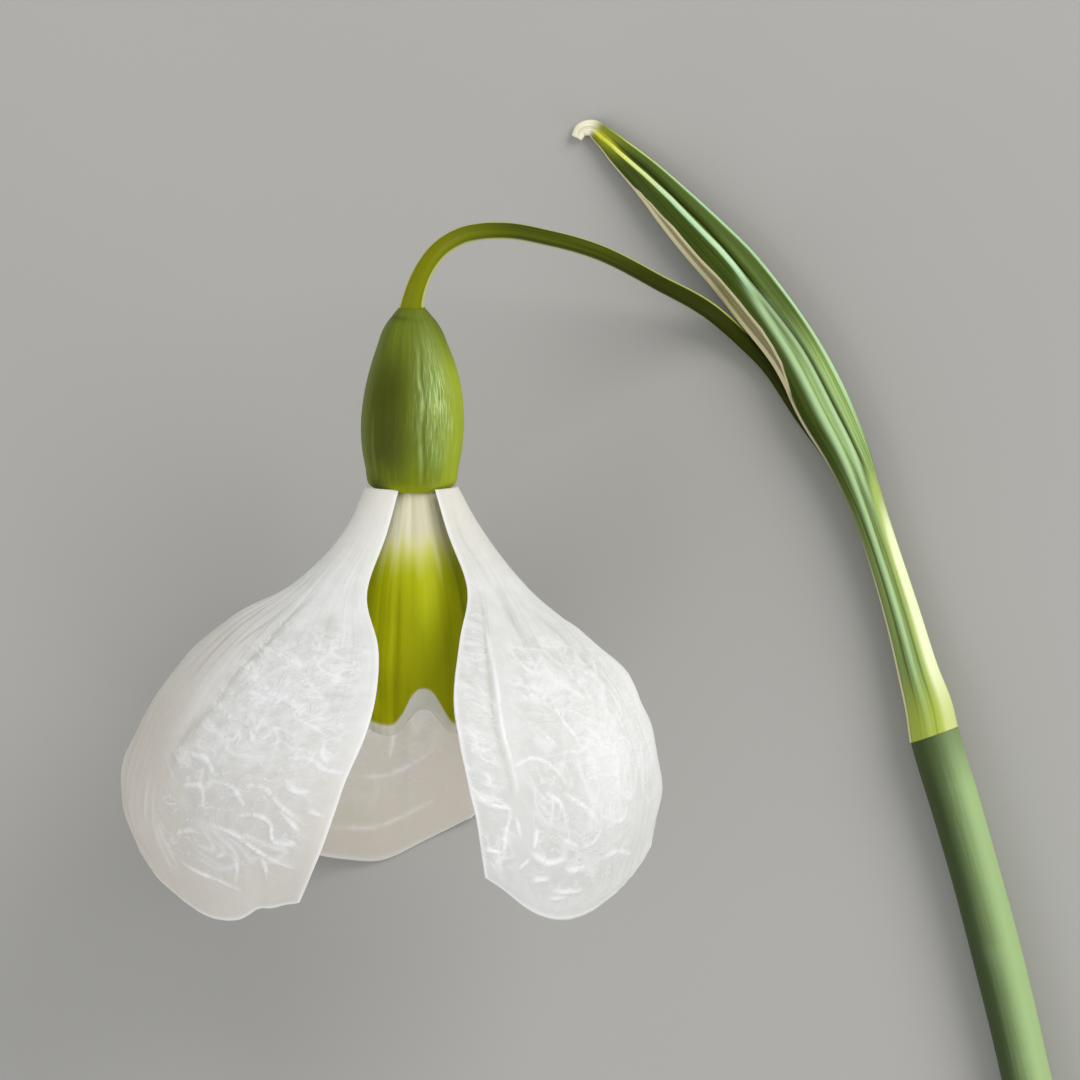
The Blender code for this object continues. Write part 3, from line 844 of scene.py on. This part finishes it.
def ovaryMesh():
    rows, columns = ovary["rows"], ovary["columns"]
    profile = smoothRows([(z, radius, 0.0) for z, radius in ovary["profile"]], rows)
    azimuth = np.arange(columns)[None, :] * 360.0 / columns - 180.0
    z, radius = profile[:, :1], profile[:, 1:2]
    cosine, sine = np.cos(np.radians(azimuth)), np.sin(np.radians(azimuth))
    around = lambda count, seed: softNoise(cosine * count + 30, sine * count + 30 + z * 0.12, seed)
    ridges = around(5, 71) + 0.6 * around(11, 72) + 0.4 * around(21, 76)
    patch = bell(azimuth, ovary["wrinkleAzimuth"], 21) * bell(z, 5.0, 3.0)
    bend = 2 * softNoise(azimuth / 9 + 60, z, 74)
    wrinkles = 1 - 2 * np.abs(softNoise(azimuth / 2.6 + 60 + bend, z * 0.8, 73))
    fineWrinkles = 1 - 2 * np.abs(softNoise(azimuth / 1.8 + 60, z * 2.4 + bend, 77))
    seamLength = smoothStep(0.3, 1.2, z) * smoothStep(9, 6.5, z)
    seamLine = ovary["seamAzimuth"] + 0.05 * (5 - z) ** 2 + 2.5 * softNoise(z * 0.6 + 20, 5, 78)
    seam = bell(azimuth, seamLine, 1.9) * seamLength * (0.6 + 0.4 * softNoise(z * 2 + 20, 9, 79))
    beside = bell(azimuth, seamLine + 5, 1.8) * seamLength
    relief = ovary["ridgeHeight"] * ridges + ovary["wrinkleHeight"] * patch * (wrinkles + 0.5 * fineWrinkles)
    relief = relief + ovary["seamHeight"] * seam - ovary["seamHollow"] * beside
    taper = smoothStep(0, 0.4, z) * smoothStep(10, 9.5, z)
    collar = bell(z, 0.12, 0.28) * (0.5 + 0.5 * softNoise(cosine * 4 + 20, sine * 4 + 20, 75))
    neck = bell(z, 9.55, 0.14)
    radius = radius + relief * taper + ovary["collarHeight"] * collar - ovary["neckHollow"] * neck
    marks = {
        "ridge": (ridges + 1.8) / 3.6,
        "patch": patch,
        "seam": seam,
        "beside": beside,
        # painted light on the right side
        "bright": smoothStep(16, 62, azimuth) * smoothStep(175, 120, azimuth) * smoothStep(9.5, 6, z),
        "shoulder": smoothStep(5.5, 8.5, z),
        # painted shade on the left side
        "dark": bell(azimuth, -32, 30) * smoothStep(0.4, 2.5, z) * smoothStep(9.0, 6.5, z),
        "side": smoothStep(-52, -74, azimuth) + 0.7 * bell(azimuth, -50, 3) * smoothStep(5, 3, z),
        "base": np.maximum(bell(z, 0.0, 0.5), 0.35 * bell(azimuth, 8, 22) * bell(z, 0.3, 1.6)),
        # painted shade in the neck's groove, on the left
        "neck": neck * smoothStep(25, -35, azimuth),
        "fleck": bell(azimuth, -52, 22) * bell(z, 0.35, 0.45),
    }
    places = polar(azimuth, radius, z)
    places[..., 0] += ovary["lean"] * bell(z, 6.3, 2.6)
    return ringMesh("ovary_body", onFlower(places), marks)


def ovaryFinish():
    skin = Finish("ovary_skin", roughness=0.4, subsurface=0.04, depth=0.0006,
                  Subsurface_Radius=(0.6, 1.0, 0.15), Specular_IOR_Level=0.14)
    fine = skin.noise(skin.uv(90.0, 3.0), 1.0, 3.0)
    cloud = skin.noise(skin.place(), 420.0, 4.0, 0.6)
    strands = skin.noise(skin.uv(230.0, 7.0), 1.0, 3.0, 0.6)
    green = skin.coats(
        skin.mix(skin.mark("ridge"), *ovary["green"]), ovary["coats"],
        fine=skin.ramp(fine, 0.45, 0.7, 0.0, 0.4),
        cloud=skin.ramp(cloud, 0.45, 0.7, 0.0, 0.4),
        brightGreen=skin.mix(fine, *ovary["brightGreen"]),
        # painted glints along the wrinkles
        paleStrands=skin.where("patch", skin.ramp(strands, 0.5, 0.64)),
        # painted shade between the wrinkles
        hollows=skin.where("patch", skin.ramp(strands, 0.46, 0.36)))
    grain = skin.maths("ADD", strands, skin.noise(skin.place(), 1900.0, 2.0))
    rough = skin.ramp(skin.mark("patch"), 0.0, 1.0, 0.45, 0.28)
    return skin.finish(green, rough, skin.bump(grain, 0.05, 0.8))


addPiece("ovary_body", ovaryMesh(), ovaryFinish(), "ovary_green", ["ovary"])
print("ovary made")


# a Geometry Nodes tree being built, with named inputs; each call returns an output socket
class Tree:
    def __init__(self, name, inputs):
        self.tree = bpy.data.node_groups.new(name, "GeometryNodeTree")
        self.socket("Geometry", "Geometry", "INPUT")
        for label, kind in inputs.items():
            self.socket(label, kind, "INPUT")
        self.socket("Geometry", "Geometry", "OUTPUT")
        self.given = self.tree.nodes.new("NodeGroupInput").outputs

    def socket(self, label, kind, way):
        self.tree.interface.new_socket(label, in_out=way, socket_type="NodeSocket" + kind)

    def add(self, kind, inputs, output=0, **settings):
        return addNode(self.tree, "GeometryNode" + kind, inputs, output, **settings)

    def maths(self, operation, first, second=0.0):
        return addNode(self.tree, "ShaderNodeMath", {0: first, 1: second}, operation=operation)

    def rotation(self, x, y, z):
        return addNode(self.tree, "ShaderNodeCombineXYZ", {0: x, 1: y, 2: z})

    def store(self, geometry, name, value):
        inputs = {"Geometry": geometry, "Name": name, "Value": value}
        return self.add("StoreNamedAttribute", inputs, data_type="FLOAT", domain="POINT")

    def finish(self, geometry):
        plain = self.add("RealizeInstances", {"Geometry": geometry})
        coated = self.add("SetMaterial", {"Geometry": plain, "Material": self.given["Material"]})
        self.tree.links.new(coated, self.tree.nodes.new("NodeGroupOutput").inputs[0])
        return self.tree


# run a tree on a mesh and return the plain mesh that it makes
def runTree(name, tree, mesh, values):
    holder = bpy.data.objects.new(name, mesh)
    bpy.context.scene.collection.objects.link(holder)
    modifier = holder.modifiers.new("build", "NODES")
    modifier.node_group = tree
    sockets = {item.name: item.identifier for item in tree.interface.items_tree if item.in_out == "INPUT"}
    for label, value in values.items():
        modifier[sockets[label]] = value
    made = bpy.data.meshes.new_from_object(holder.evaluated_get(bpy.context.evaluated_depsgraph_get()))
    holder.modifiers.remove(modifier)
    bpy.data.objects.remove(holder)
    made.name = name
    return made


# a stalk along a line of points: a ribbed round section that follows the radius and twists on its way
def stalkTree():
    tree = Tree("stalk", {"Sides": "Int", "Ribs": "Float", "Rib Depth": "Float", "Twist": "Float",
                          "Material": "Material"})
    given = tree.given
    curve = tree.add("MeshToCurve", {"Mesh": given["Geometry"]})
    curve = tree.add("SetCurveNormal", {"Curve": curve}, mode="Z_UP")
    radius = tree.add("InputNamedAttribute", {"Name": "radius"}, data_type="FLOAT")
    curve = tree.add("SetCurveRadius", {"Curve": curve, "Radius": radius})
    share = tree.add("SplineParameter", {})
    curve = tree.add("SetCurveTilt", {"Curve": curve, "Tilt": tree.maths("MULTIPLY", share, given["Twist"])})
    curve = tree.store(curve, "along", share)
    section = tree.add("CurvePrimitiveCircle", {"Resolution": given["Sides"], "Radius": 1.0})
    angle = tree.maths("MULTIPLY", tree.add("SplineParameter", {}), fullTurn)
    section = tree.store(section, "cosine", tree.maths("COSINE", angle))
    section = tree.store(section, "sine", tree.maths("SINE", angle))
    wave = tree.maths("SINE", tree.maths("MULTIPLY", angle, given["Ribs"]))
    swell = tree.maths("ADD", tree.maths("MULTIPLY", wave, given["Rib Depth"]), 1.0)
    swollen = addNode(tree.tree, "ShaderNodeVectorMath", {0: tree.add("InputPosition", {}), "Scale": swell},
                      operation="SCALE")
    section = tree.add("SetPosition", {"Geometry": section, "Position": swollen})
    stalk = tree.add("CurveToMesh", {"Curve": curve, "Profile Curve": section,
                                     "Scale": tree.add("InputRadius", {}), "Fill Caps": True})
    return tree.finish(tree.add("SetShadeSmooth", {"Geometry": stalk}))


stalkNodes = stalkTree()


def lineMesh(name, places, radii):
    mesh = bpy.data.meshes.new(name)
    mesh.from_pydata(places.tolist(), [(number, number + 1) for number in range(len(places) - 1)], [])
    mesh.attributes.new("radius", "FLOAT", "POINT").data.foreach_set("value", (radii * mm).astype(np.float32))
    return mesh


# the section is its sides, ribs, rib depth and twist in radians
def stalkMesh(name, places, radii, material, section):
    values = dict(zip(("Sides", "Ribs", "Rib Depth", "Twist"), section))
    line = lineMesh(name + "_line", places, radii)
    return runTree(name, stalkNodes, line, {**values, "Material": material})


# stalk places are drawn over the floor, from under the flower's base
def onFloor(places):
    return np.asarray(places) * mm + (flowerBase[0], flowerBase[1], 0.0)


pedicel = {
    # x and y from the flower's base, height over the floor, and radius
    "line": ((-.02, 9.75, 19.1, .68), (.06, 10.25, 19.25, .6), (.3, 11.1, 19.5, .54), (.75, 12.1, 19.6, .5),
             (1.5, 13.1, 19.3, .48), (2.7, 13.9, 18.5, .47), (3.8, 14.2, 17.5, .47), (5, 14.3, 16.3, .46),
             (7.6, 14, 13.2, .46), (10.2, 13.4, 9.9, .46), (13.8, 11.8, 5.2, .48), (17.3, 9.9, 1.7, .52),
             (18.8, 8.6, .95, .5), (20.1, 7.3, .75, .48), (22.2, 4.2, .75, .45), (23.9, 1.8, 1, .42),
             (25.6, -.7, 1.15, .4), (27.2, -4.7, 1.2, .4), (28.8, -10, 1.3, .4), (29.6, -13.75, 1.4, .4)),
    "points": 300,
    "section": (40, 4.0, 0.06, 0.6),
    "green": ((0.042, 0.055, 0.0), (0.078, 0.096, 0.0)),
    "coats": (
        ("near", 1.0, (0.25, 0.265, 0.003)),
        ("far", 1.0, (0.024, 0.03, 0.0)),
        # painted light: the edges coat brightens both edges of the stalk
        ("edges", 0.85, (0.62, 0.68, 0.16)),
    ),
}


def pedicelFinish():
    skin = Finish("pedicel_skin", roughness=0.42, subsurface=0.04, depth=0.0005,
                  Subsurface_Radius=(0.6, 1.0, 0.15), Specular_IOR_Level=0.09)
    streak = skin.noise(skin.stalk(3.0, 4.0), 1.0, 3.0)
    green = skin.coats(
        skin.mix(skin.ramp(streak, 0.35, 0.65), *pedicel["green"]), pedicel["coats"],
        near=skin.ramp(skin.mark("along"), 0.19, 0.02, 0.0, 0.75),
        far=skin.ramp(skin.mark("along"), 0.26, 0.42, 0.0, 0.85),
        # painted light along both edges
        edges=skin.ramp(skin.maths("ABSOLUTE", skin.mark("cosine")), 0.86, 0.96))
    bump = skin.bump(skin.noise(skin.stalk(9.0, 12.0), 1.0, 3.0), 0.03, 0.5)
    return skin.finish(green, None, bump)


scape = {
    # x and y from the flower's base
    "line": ((29.66, -13.5), (29.8, -14.07), (31, -18.1), (32.15, -22.1), (33.2, -26), (34.2, -30),
             (35.1, -33.9), (37.3, -43.7), (39.2, -53.5)),
    "radius": 1.43,
    "axisHeight": 1.47,
    "necking": 0.2,  # how much thinner its top is, inside the spathe
    "swelling": (0.012, 23.0),  # mm, and how quickly it comes and goes
    "points": 320,
    "section": (84, 3.0, 0.012, 0.4),
    "green": ((0.075, 0.115, 0.036), (0.125, 0.185, 0.065)),
    "coats": (
        ("fine", 1.0, (0.20, 0.29, 0.13)),
        ("bloom", 1.0, (0.22, 0.30, 0.16)),
        ("lit", 0.75, (0.45, 0.63, 0.28)),
        ("shaded", 0.85, (0.026, 0.044, 0.007)),
        ("top", 1.0, (0.055, 0.085, 0.022)),
    ),
}


def scapeFinish():
    skin = Finish("scape_skin", roughness=0.6, subsurface=0.04, depth=0.0006,
                  Subsurface_Radius=(0.6, 1.0, 0.3), Specular_IOR_Level=0.2,
                  Sheen_Weight=0.04, Sheen_Roughness=0.5)
    streak = skin.noise(skin.stalk(2.6, 3.0), 1.0, 4.0)
    fine = skin.noise(skin.stalk(16.0, 9.0), 1.0, 3.0)
    bloom = skin.noise(skin.place(), 420.0, 4.0)
    green = skin.coats(
        skin.mix(skin.ramp(streak, 0.3, 0.7), *scape["green"]), scape["coats"],
        fine=skin.ramp(fine, 0.4, 0.75, 0.0, 0.35),
        bloom=skin.ramp(bloom, 0.45, 0.8, 0.0, 0.3),
        lit=skin.ramp(skin.mark("cosine"), 0.25, -0.75),
        shaded=skin.ramp(skin.mark("cosine"), -0.05, 0.65),
        top=skin.ramp(skin.mark("along"), 0.12, 0.0, 0.0, 0.55))
    bump = skin.bump(skin.noise(skin.stalk(12.0, 30.0), 1.0, 4.0), 0.03, 0.5)
    return skin.finish(green, None, bump)


def buildStalks():
    rows = smoothRows(pedicel["line"], pedicel["points"])
    mesh = stalkMesh("pedicel_stalk", onFloor(rows[:, :3]), rows[:, 3], pedicelFinish(), pedicel["section"])
    addPiece("pedicel_stalk", mesh, None, "pedicel_green", ["pedicel"])

    line = smoothRows([(x, y, scape["axisHeight"]) for x, y in scape["line"]], scape["points"])
    share = np.linspace(0, 1, scape["points"])
    height, pace = scape["swelling"]
    radii = scape["radius"] * (1 - scape["necking"] * smoothStep(0.016, 0.006, share))
    radii = radii + height * np.sin(share * pace)
    mesh = stalkMesh("scape_stalk", onFloor(line), radii, scapeFinish(), scape["section"])
    addPiece("scape_stalk", mesh, None, "scape_green", ["scape"])


buildStalks()
print("stalks made")

spathe = {
    # x and y from the flower's base, half width, half height, and how far the lower wall stops short
    "line": ((9.15, 20.3, .36, .3, 60), (9.45, 20.8, .43, .36, 60), (10.1, 20.95, .5, .42, 60),
             (10.9, 20.4, .62, .5, 64), (11.9, 19.5, .82, .62, 70), (13.4, 18, 1.07, .8, 76),
             (15, 16.2, 1.35, .98, 82), (16.6, 14.4, 1.54, 1.12, 86), (18.2, 12.6, 1.64, 1.22, 90),
             (19.7, 10.7, 1.67, 1.3, 90), (21.7, 8, 1.58, 1.35, 92), (23.6, 4.4, 1.58, 1.35, 92),
             (24.8, 2, 1.33, 1.3, 84), (25.7, -.3, 1.09, 1.25, 50), (26.5, -2.6, 1, 1.2, 24),
             (27.9, -7, 1.06, 1.22, 16), (28.9, -10.6, 1.22, 1.32, 16), (29.5, -12.7, 1.42, 1.42, 16),
             (29.72, -13.9, 1.48, 1.46, 16)),
    "wall": 0.24,
    "upperEdge": 4.0,
    "floorGap": 0.06,
    "rows": 461,
    "columns": 151,
    # where each feature lies across the upper wall (-1 left, 1 right) on its way from tip to base
    "ridge": ((0, .04, .07, .125, .18, .27, .34), (-.3, -.29, -.12, -.02, .12, .14, .05)),
    "leftStripe": ((.3, .37, .42, .46, .52, .75, 1), (.05, -.07, -.18, -.24, -.23, -.3, -.2)),
    "rightStripe": ((.3, .37, .42, .53, .7, 1), (.05, .22, .23, .22, .2, .3)),
    "groove": ((.05, .12, .235, .30, .35, .40, .46, .53, .6, .68),
               (.35, .42, .41, .27, .26, .28, .31, .33, .38, .55)),
    "membrane": ((.13, .165, .21, .265, .346, .396, .451, .5),
                 (-.98, -.79, -.68, -.7, -.61, -.59, -.74, -.97)),
    "outlineShift": ((0, .08, .13, .2, .3), (-.25, -.24, -.13, -.08, 0)),
    "stripeWidth": 0.13,
    "ridgeHeight": 0.07,
    "grooveDepth": 0.2,
    "membraneDepth": 0.16,
    "fibreHeight": 0.014,
    # the darker and the lighter strands of each area
    "strands": {
        "stripGreen": ((0.034, 0.06, 0.002), (0.062, 0.096, 0.005)),
        "valveGreen": ((0.06, 0.10, 0.008), (0.11, 0.185, 0.025)),
        "tubeGreen": ((0.10, 0.135, 0.03), (0.27, 0.38, 0.11)),
        "paleGreen": ((0.22, 0.35, 0.08), (0.52, 0.74, 0.30)),
    },
    "olive": ((0.30, 0.26, 0.13), (0.52, 0.44, 0.26)),
    # colours of the painted highlights along the ridge and the rim
    "lineGreen": ((0.84, 0.88, 0.18), (0.56, 0.82, 0.50)),  # near the tip, and farther down
    "coats": (
        ("valve", 1.0, "valveGreen"),
        ("tube", 1.0, "tubeGreen"),
        # painted light and highlight on the right side of the tube
        ("sunny", 1.0, (0.40, 0.53, 0.14)),
        ("sunniest", 1.0, (0.92, 0.98, 0.60)),
        ("pale", 0.8, "paleGreen"),
        # painted highlights: besideRidge, ridgeLine and rim light the ridge and the rim
        ("besideRidge", 0.4, (0.16, 0.28, 0.05)),
        ("stripe", 0.85, (0.54, 0.77, 0.40)),
        # painted shade in the groove
        ("groove", 0.92, (0.02, 0.022, 0.0)),
        ("ridgeLine", 1.0, "lineGreen"),
        ("rim", 0.9, "lineGreen"),
        ("membrane", 0.95, "olive"),
        ("base", 0.6, (0.46, 0.53, 0.05)),
        ("yellow", 0.75, (0.62, 0.62, 0.02)),
        ("cream", 0.9, (0.86, 0.78, 0.48)),
        ("tip", 1.0, (1.0, 0.95, 0.72)),
        ("slit", 0.5, (0.42, 0.40, 0.28)),
    ),
}


def spatheMesh():
    rows, columns = spathe["rows"], spathe["columns"]
    line = smoothRows([(x, y, 0.0, *rest) for x, y, *rest in spathe["line"]], rows)
    heading = np.gradient(line[:, :2], axis=0)
    heading /= np.linalg.norm(heading, axis=1, keepdims=True)
    forward = np.stack([heading[:, 0], heading[:, 1], np.zeros(rows)], -1)[:, None]
    side = np.stack([-heading[:, 1], heading[:, 0], np.zeros(rows)], -1)[:, None]
    up = np.array((0.0, 0.0, 1.0))
    v = np.linspace(0, 1, rows)[:, None]
    wide, high, opening = (line[:, column][:, None] for column in (3, 4, 5))
    middle = np.stack([line[:, 0], line[:, 1], line[:, 4] + spathe["floorGap"]], -1)[:, None]
    # the section's columns crowd towards the upper wall
    across = np.linspace(0, 1, columns)[None, :] ** 0.8
    turn = np.radians((opening - 180) + (360 - spathe["upperEdge"] - opening) * across)
    f, top = np.cos(turn), smoothStep(-0.05, 0.35, np.sin(turn))
    feature = {name: np.interp(v[:, 0], *spathe[name])[:, None]
               for name in ("ridge", "leftStripe", "rightStripe", "groove", "membrane", "outlineShift")}

    fromGroove, lowerPart = f - feature["groove"], smoothStep(0.3, 0.38, v)
    ridgeFade = smoothStep(0.38, 0.3, v) * smoothStep(0.02, 0.05, v)
    ridge = bell(f, feature["ridge"], 0.06 + 0.1 * v) * ridgeFade
    left, right = (bell(f, feature[name], spathe["stripeWidth"]) * lowerPart
                   for name in ("leftStripe", "rightStripe"))
    left, right = left * (1 - 0.6 * smoothStep(0.8, 1, v)), right * (1 - smoothStep(0.6, 0.75, v))
    groove = bell(fromGroove, -0.08 * bell(v, 0.12, 0.1), 0.09 + 0.12 * bell(v, 0.1, 0.09))
    groove = groove * smoothStep(0.04, 0.08, v) * smoothStep(0.67, 0.55, v)
    membrane = smoothStep(0.03, -0.03, f - feature["membrane"])
    membrane = membrane * smoothStep(0.13, 0.17, v) * smoothStep(0.52, 0.48, v)
    narrow = np.minimum(1, wide)
    fibres = softNoise(f * 14 + 30, v * 9, 81) + 0.6 * softNoise(f * 30 + 40, v * 16, 82)
    raised, sunken = spathe["ridgeHeight"] * (ridge + left + right), spathe["grooveDepth"] * groove * narrow
    relief = (raised - sunken - spathe["membraneDepth"] * membrane) * top
    relief = relief + spathe["fibreHeight"] * fibres * narrow
    wall = spathe["wall"]
    outX, outZ = (wide - wall / 2 + relief), (high - wall / 2 + relief)
    shifted = outX * f + feature["outlineShift"] * wide
    places = middle + shifted[..., None] * side + (outZ * np.sin(turn))[..., None] * up
    # the base ends aslant
    places = places + (0.25 - 0.22 * f)[..., None] * smoothStep(0.93, 1.0, v)[..., None] * forward

    pale = np.maximum(smoothStep(0.05, 0.2, fromGroove), bell(f, 0.0, 0.3))
    marks = {
        "across": f,
        "fromRidge": f - feature["ridge"],
        # painted highlights along the ridge and the rim
        "ridge": ridgeFade * top,
        "rimLine": top * smoothStep(0.02, 0.1, v) * smoothStep(0.62, 0.5, v),
        "fromMembrane": f - feature["membrane"] - 0.03,
        "innerLine": smoothStep(0.1, 0.14, v) * smoothStep(0.52, 0.48, v) * top,
        "stripe": np.maximum(left, right) * top,
        # painted shade in the groove
        "groove": groove * top,
        "membrane": membrane * top,
        "outerLine": smoothStep(-0.3, 0.1, np.sin(turn)) * (1 - 0.8 * bell(v, 0.68, 0.1)),
        "tip": smoothStep(0.045, 0.025, v),
        "slit": bell(f, 0.1, 0.16) * top * smoothStep(0.05, 0.035, v) * smoothStep(0.0, 0.01, v),
        "yellow": bell(v, 0.05, 0.03) * (0.25 + 0.75 * bell(f, -0.15, 0.45)) * top,
        "minty": smoothStep(0.06, 0.2, v),
        "tube": smoothStep(0.55, 0.78, v),
        # the right side, where the painted light falls
        "right": smoothStep(-0.1, 0.75, f) * top,
        "valve": smoothStep(0.05, 0.3, fromGroove) * smoothStep(0.68, 0.6, v) * top,
        "base": smoothStep(0.9, 0.99, v),
        "pale": smoothStep(0.38, 0.5, v) * smoothStep(0.68, 0.58, v) * pale * top,
    }
    places, marks = facingOut(places, places - middle, marks)
    thickness = np.full((rows, columns), wall * 0.8)
    return sheetMesh("spathe_sheath", onFloor(places), thickness, marks)


def spatheFinish():
    skin = Finish("spathe_skin", roughness=0.45, subsurface=0.06, depth=0.0005,
                  Subsurface_Radius=(0.7, 1.0, 0.3), Specular_IOR_Level=0.14)
    stripes = skin.noise(skin.uv(34.0, 1.4), 1.0, 3.0)
    strand = skin.ramp(stripes, 0.35, 0.65)
    greens = {area: skin.mix(strand, *pair) for area, pair in spathe["strands"].items()}
    # painted light on the right side of the tube
    sunny = skin.where("right", skin.mark("tube"))

    # a line drawn where a distance mark is small
    def drawn(away, wide, thin, show):
        return skin.where(show, skin.ramp(skin.maths("ABSOLUTE", away), wide, thin))

    outerLine = drawn(skin.maths("ADD", skin.mark("across"), 1.0), 0.09, 0.05, "outerLine")
    innerLine = drawn(skin.mark("fromMembrane"), 0.075, 0.04, "innerLine")
    green = skin.coats(
        greens["stripGreen"], spathe["coats"],
        sunny=skin.ramp(sunny, 0.1, 0.5),
        sunniest=skin.ramp(sunny, 0.5, 0.9),
        # painted highlights beside and along the ridge, and on the rim
        besideRidge=drawn(skin.mark("fromRidge"), 0.3, 0.0, "ridge"),
        ridgeLine=drawn(skin.mark("fromRidge"), 0.1, 0.03, "ridge"),
        rim=drawn(skin.maths("SUBTRACT", skin.mark("across"), 1.0), 0.16, 0.06, "rimLine"),
        cream=skin.maths("MAXIMUM", outerLine, innerLine),
        olive=skin.mix(skin.ramp(stripes, 0.4, 0.6), *spathe["olive"]),
        lineGreen=skin.mix(skin.mark("minty"), *spathe["lineGreen"]), **greens)
    bump = skin.bump(skin.noise(skin.uv(90.0, 10.0), 1.0, 3.0), 0.03, 0.5)
    return skin.finish(green, None, bump)


addPiece("spathe_sheath", spatheMesh(), spatheFinish(), "spathe_green", ["spathe"])
print("spathe made")

stamen = {
    "count": 6,
    "ring": 1.1,
    "turn": 38.0,  # azimuth of the first, degrees
    "lean": 2.0,
    "gap": 0.1,
    "filament": ((0, .18), (.5, .16), (1.4, .15), (1.6, .12)),
    "anther": ((0, .2), (.15, .3), (.4, .38), (1.2, .4), (2, .4), (3, .36), (3.8, .32), (5.2, .15),
               (5.75, .04)),
    "style": ((.1, .3), (1.5, .24), (4, .21), (7.5, .2), (9.2, .24), (9.6, .22), (9.85, .1)),
    "filamentSection": (24, 5.0, 0.05, 0.0),
    "antherSection": (24, 4.0, 0.16, 0.0),
    "styleSection": (28, 3.0, 0.05, 0.0),
    "cream": ((0.70, 0.68, 0.48), (0.86, 0.84, 0.68)),
    "orange": ((0.62, 0.24, 0.015), (0.86, 0.43, 0.05)),
    "green": ((0.42, 0.5, 0.16), (0.62, 0.68, 0.36)),
}


# copies one part round the flower's axis, each leaning outwards from its top
def ringTree():
    tree = Tree("ring", {"Part": "Object", "Count": "Int", "Ring Radius": "Float", "First Turn": "Float",
                         "Lean": "Float", "Material": "Material"})
    given = tree.given
    ring = tree.add("MeshCircle", {"Vertices": given["Count"], "Radius": given["Ring Radius"]})
    part = tree.add("ObjectInfo", {"Object": given["Part"]}, 4)
    step = tree.maths("DIVIDE", fullTurn, given["Count"])
    turn = tree.maths("ADD", tree.maths("MULTIPLY", tree.add("InputIndex", {}), step), fullTurn / 4)
    leaning = tree.rotation(given["Lean"], 0.0, turn)
    ring = tree.add("InstanceOnPoints", {"Points": ring, "Instance": part, "Rotation": leaning})
    turned = tree.rotation(0.0, 0.0, given["First Turn"])
    return tree.finish(tree.add("Transform", {"Geometry": ring, "Rotation": turned}))


def antherFinish():
    pollen = Finish("anther_pollen", roughness=0.6, subsurface=0.1, depth=0.0004, Specular_IOR_Level=0.3)
    grain = pollen.noise(pollen.place(), 5200.0, 3.0)
    colour = pollen.mix(pollen.ramp(grain, 0.3, 0.7), *stamen["orange"])
    return pollen.finish(colour, None, pollen.bump(grain, 0.03, 0.8))


def threadFinish(name, colours):
    thread = Finish(name, roughness=0.5, subsurface=0.15, depth=0.0005, Specular_IOR_Level=0.35)
    streak = thread.noise(thread.stalk(3.0, 5.0), 1.0, 3.0)
    return thread.finish(thread.mix(thread.ramp(streak, 0.35, 0.65), *colours))


# the rows of a hanging part, from its distances down and radii
def hanging(part, offset=0.0, points=60):
    return smoothRows([(0.0, 0.0, -offset - down, radius) for down, radius in stamen[part]], points)


def buildStamens():
    ringNodes = ringTree()
    firstTurn = math.radians(stamen["turn"] + 180.0)
    hang = stamen["filament"][-1][0] + stamen["gap"]
    kinds = (("filament", 0.0, "filament_cream", threadFinish("filament_cream", stamen["cream"])),
             ("anther", hang, "anther_orange", antherFinish()))
    for kind, offset, slotName, material in kinds:
        rows = hanging(kind, offset)
        part = stalkMesh(kind + "_part", rows[:, :3] * mm, rows[:, 3], material, stamen[kind + "Section"])
        holder = bpy.data.objects.new(kind + "_holder", part)
        bpy.context.scene.collection.objects.link(holder)
        mesh = runTree(kind + "s", ringNodes, bpy.data.meshes.new(kind + "_empty"), {
            "Part": holder, "Count": stamen["count"], "Ring Radius": stamen["ring"] * mm,
            "First Turn": firstTurn, "Lean": math.radians(stamen["lean"]), "Material": material})
        bpy.data.objects.remove(holder)
        mesh.transform(flowerMatrix)
        nodes = [f"{kind}_{number + 1}" for number in range(stamen["count"])]
        addPiece(kind + "s", mesh, material, slotName, nodes)

    material = threadFinish("style_green", stamen["green"])
    rows = hanging("style", points=80)
    mesh = stalkMesh("style_thread", onFlower(rows[:, :3]), rows[:, 3], material, stamen["styleSection"])
    addPiece("style_thread", mesh, material, "style_green", ["style"])


buildStamens()
print("stamens made")

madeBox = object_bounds()
{"cad": [list(corner) for corner in cadBox], "visual": [list(corner) for corner in madeBox]}
